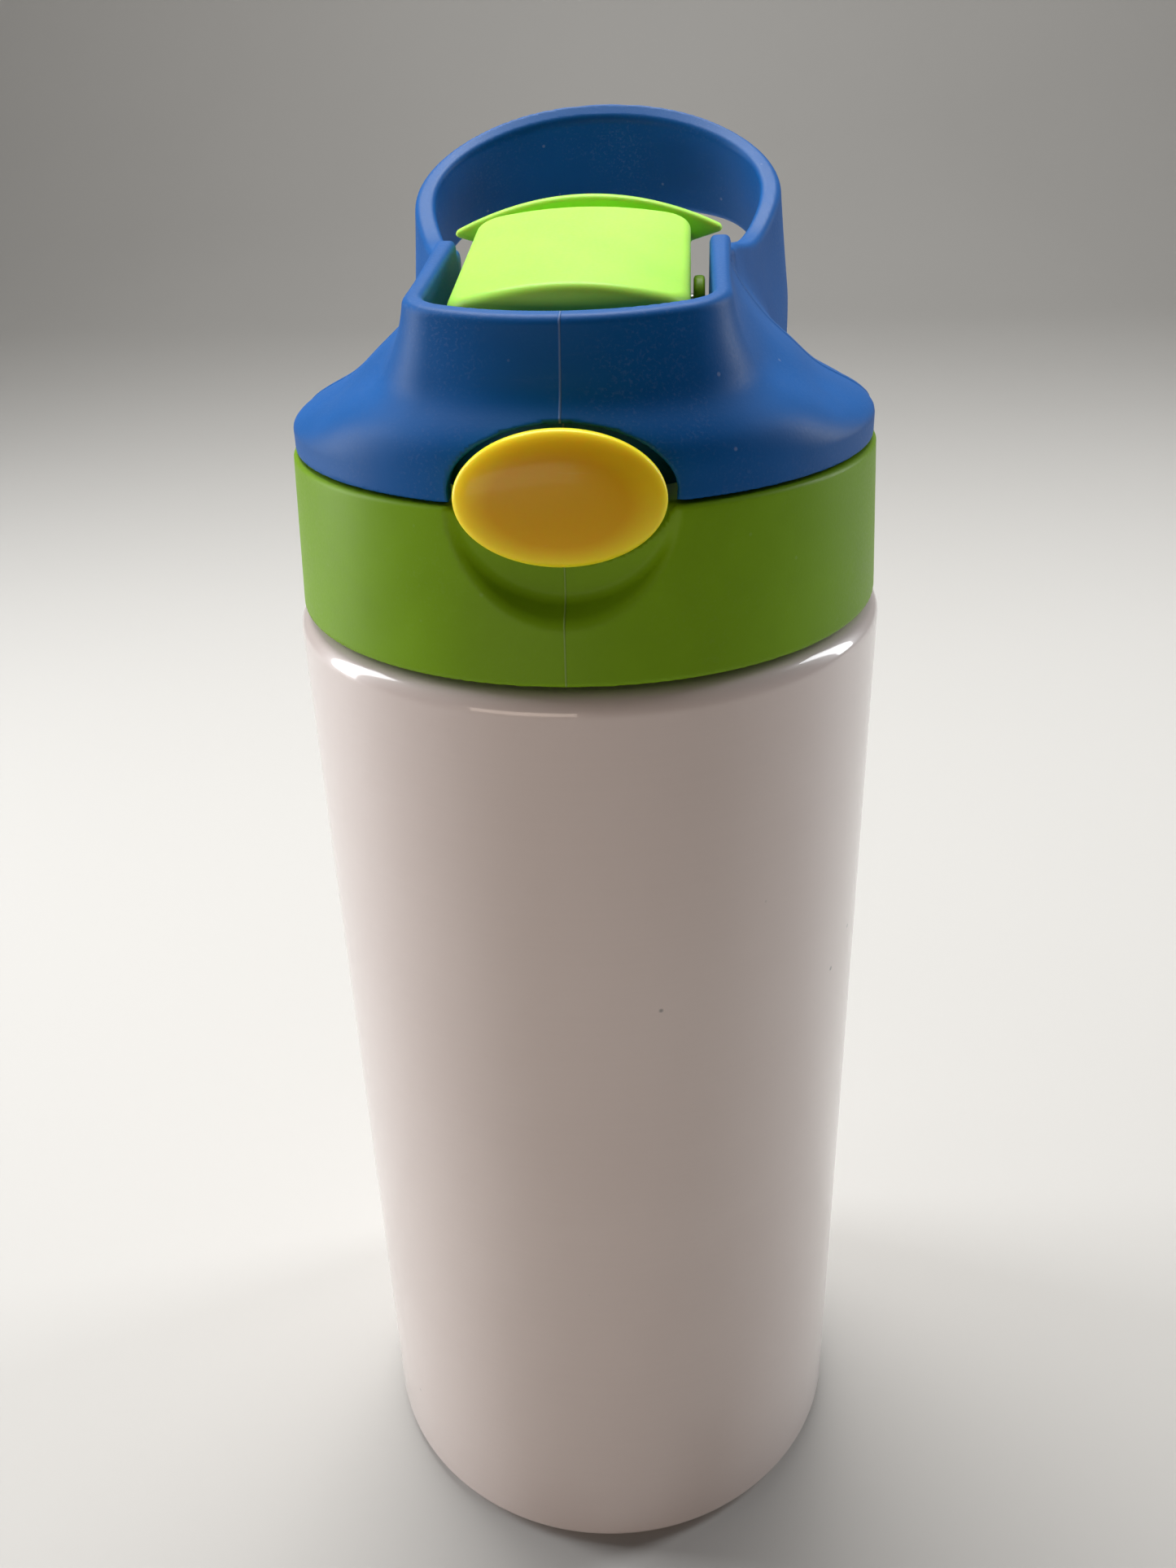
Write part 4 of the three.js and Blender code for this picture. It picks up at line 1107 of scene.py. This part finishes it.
moulded("collar", lid_base, "lid_base", 0.45, "lid", GREEN)
moulded("shroud", shroud, "top_shroud", 0.42, "lid", BLUE)
moulded("cap", flip_cap, "flip_cap", 0.3, "cap", LIME)

push_button()
field_piece("button_boss", button_boss, BOSS_LOW, BOSS_HIGH, 0.35, "button", YELLOW)
moulded("latch_bar", latch, "latch_slider", 0.3, "button", CLEAR)

hinge_rod()
coil("cap_coil", (0, HINGE_Y, HINGE_Z), "x", 2, 0.4, 7, 8.4, "lid", ["cap_spring"])
button_coil = coil("button_coil", (0, -12, 160.3), "y", 1.5, 0.3, 5, 6.6, "lid", ["button_spring"])
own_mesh(button_coil)
vent_plug()
spout_flange()
moulded("drinking_spout", spout_tube, "spout_tube", 0.3, "spout", SILICONE)
moulded("liner_plate", liner_pad, "cap_liner", 0.25, "cap", LIME)
moulded("seal_plate", seal_pad, "spout_seal", 0.2, "cap", SILICONE)

# ---- Stage: floor, light and camera --------------------------------------


def floor():
    """A pale floor just under the bottle, which curves up into a pale backdrop far behind."""
    reach, back, bend, rise, drop = 2500, 1100, 500, 2200, 0.05
    profile = [(-reach, 0)]
    for a in np.linspace(0, math.pi / 2, 16):
        profile.append((back + bend * math.sin(a), bend * (1 - math.cos(a))))
    profile.append((back + bend, rise))
    points, faces = [], []
    for y, z in profile:
        points += [(-reach, y, z - drop), (reach, y, z - drop)]
    for j in range(len(profile) - 1):
        faces.append([2 * j, 2 * j + 1, 2 * j + 3, 2 * j + 2])
    n = Nodes("floor_paint")
    n.colour(n.mix(n.noise(300, 2), (0.50, 0.49, 0.47), (0.53, 0.52, 0.50)))
    n.set(Roughness=0.7)
    obj = mesh_object("floor", points, faces, n.material)


def soft_box(name, place, target, size, power, colour):
    """A rectangular studio light of size (width, height) in metres, aimed at a point."""
    data = bpy.data.lights.new(name, "AREA")
    data.shape = "RECTANGLE"
    data.size, data.size_y = size
    data.energy = power
    data.color = colour
    obj = add_object(name, data)
    obj.location = place
    obj.rotation_mode = "QUATERNION"
    obj.rotation_quaternion = (Vector(target) - Vector(place)).to_track_quat("-Z", "Y")


def light():
    """Soft light from above and behind and from both sides, a weak warm fill low in front."""
    lid, body, foot = (0, 0, 0.18), (0, 0, 0.14), (0, 0, 0.06)
    neutral, cool, warm = (1.0, 0.99, 0.97), (0.95, 0.97, 1.0), (1.0, 0.82, 0.7)
    soft_box("overhead", (-0.08, 0.22, 0.66), lid, (0.45, 0.3), 4.6, neutral)
    soft_box("left_window", (-0.7, 0.12, 0.35), body, (0.22, 0.7), 5.0, cool)
    soft_box("right_window", (0.7, 0.3, 0.4), body, (0.16, 0.6), 3.4, cool)
    soft_box("front_fill", (-0.3, -0.8, 0.12), foot, (0.6, 0.2), 1.4, warm)
    soft_box("backdrop_wash", (0, 0.75, 1.3), (0, 1.3, 0.3), (1.6, 0.3), 9, neutral)
    bpy.context.scene.view_settings.view_transform = "Standard"
    world = bpy.data.worlds.new("studio")
    world.use_nodes = True
    background = world.node_tree.nodes["Background"]
    background.inputs["Color"].default_value = (0.88, 0.89, 0.9, 1)
    background.inputs["Strength"].default_value = 0.07
    bpy.context.scene.world = world


def camera():
    """The photograph's viewpoint: above the lid, looking down at the front."""
    place = Vector((12.16, -161.7, 196.4)) * MM
    yaw, pitch, roll = (math.radians(a) for a in (-4.62, 27.8, -1.83))
    flat = math.cos(pitch)
    forward = Vector((math.sin(yaw) * flat, math.cos(yaw) * flat, -math.sin(pitch)))
    level = Vector((math.cos(yaw), -math.sin(yaw), 0))
    upright = level.cross(forward)
    right = math.cos(roll) * level + math.sin(roll) * upright
    up = math.cos(roll) * upright - math.sin(roll) * level
    data = bpy.data.cameras.new("camera")
    data.lens, data.sensor_width = 30.79, 36
    data.clip_start = 0.01
    obj = add_object("camera", data)
    turn = Matrix((right, up, -forward)).transposed()
    obj.matrix_world = Matrix.Translation(place) @ turn.to_4x4()
    bpy.context.scene.camera = obj


floor()
light()
camera()
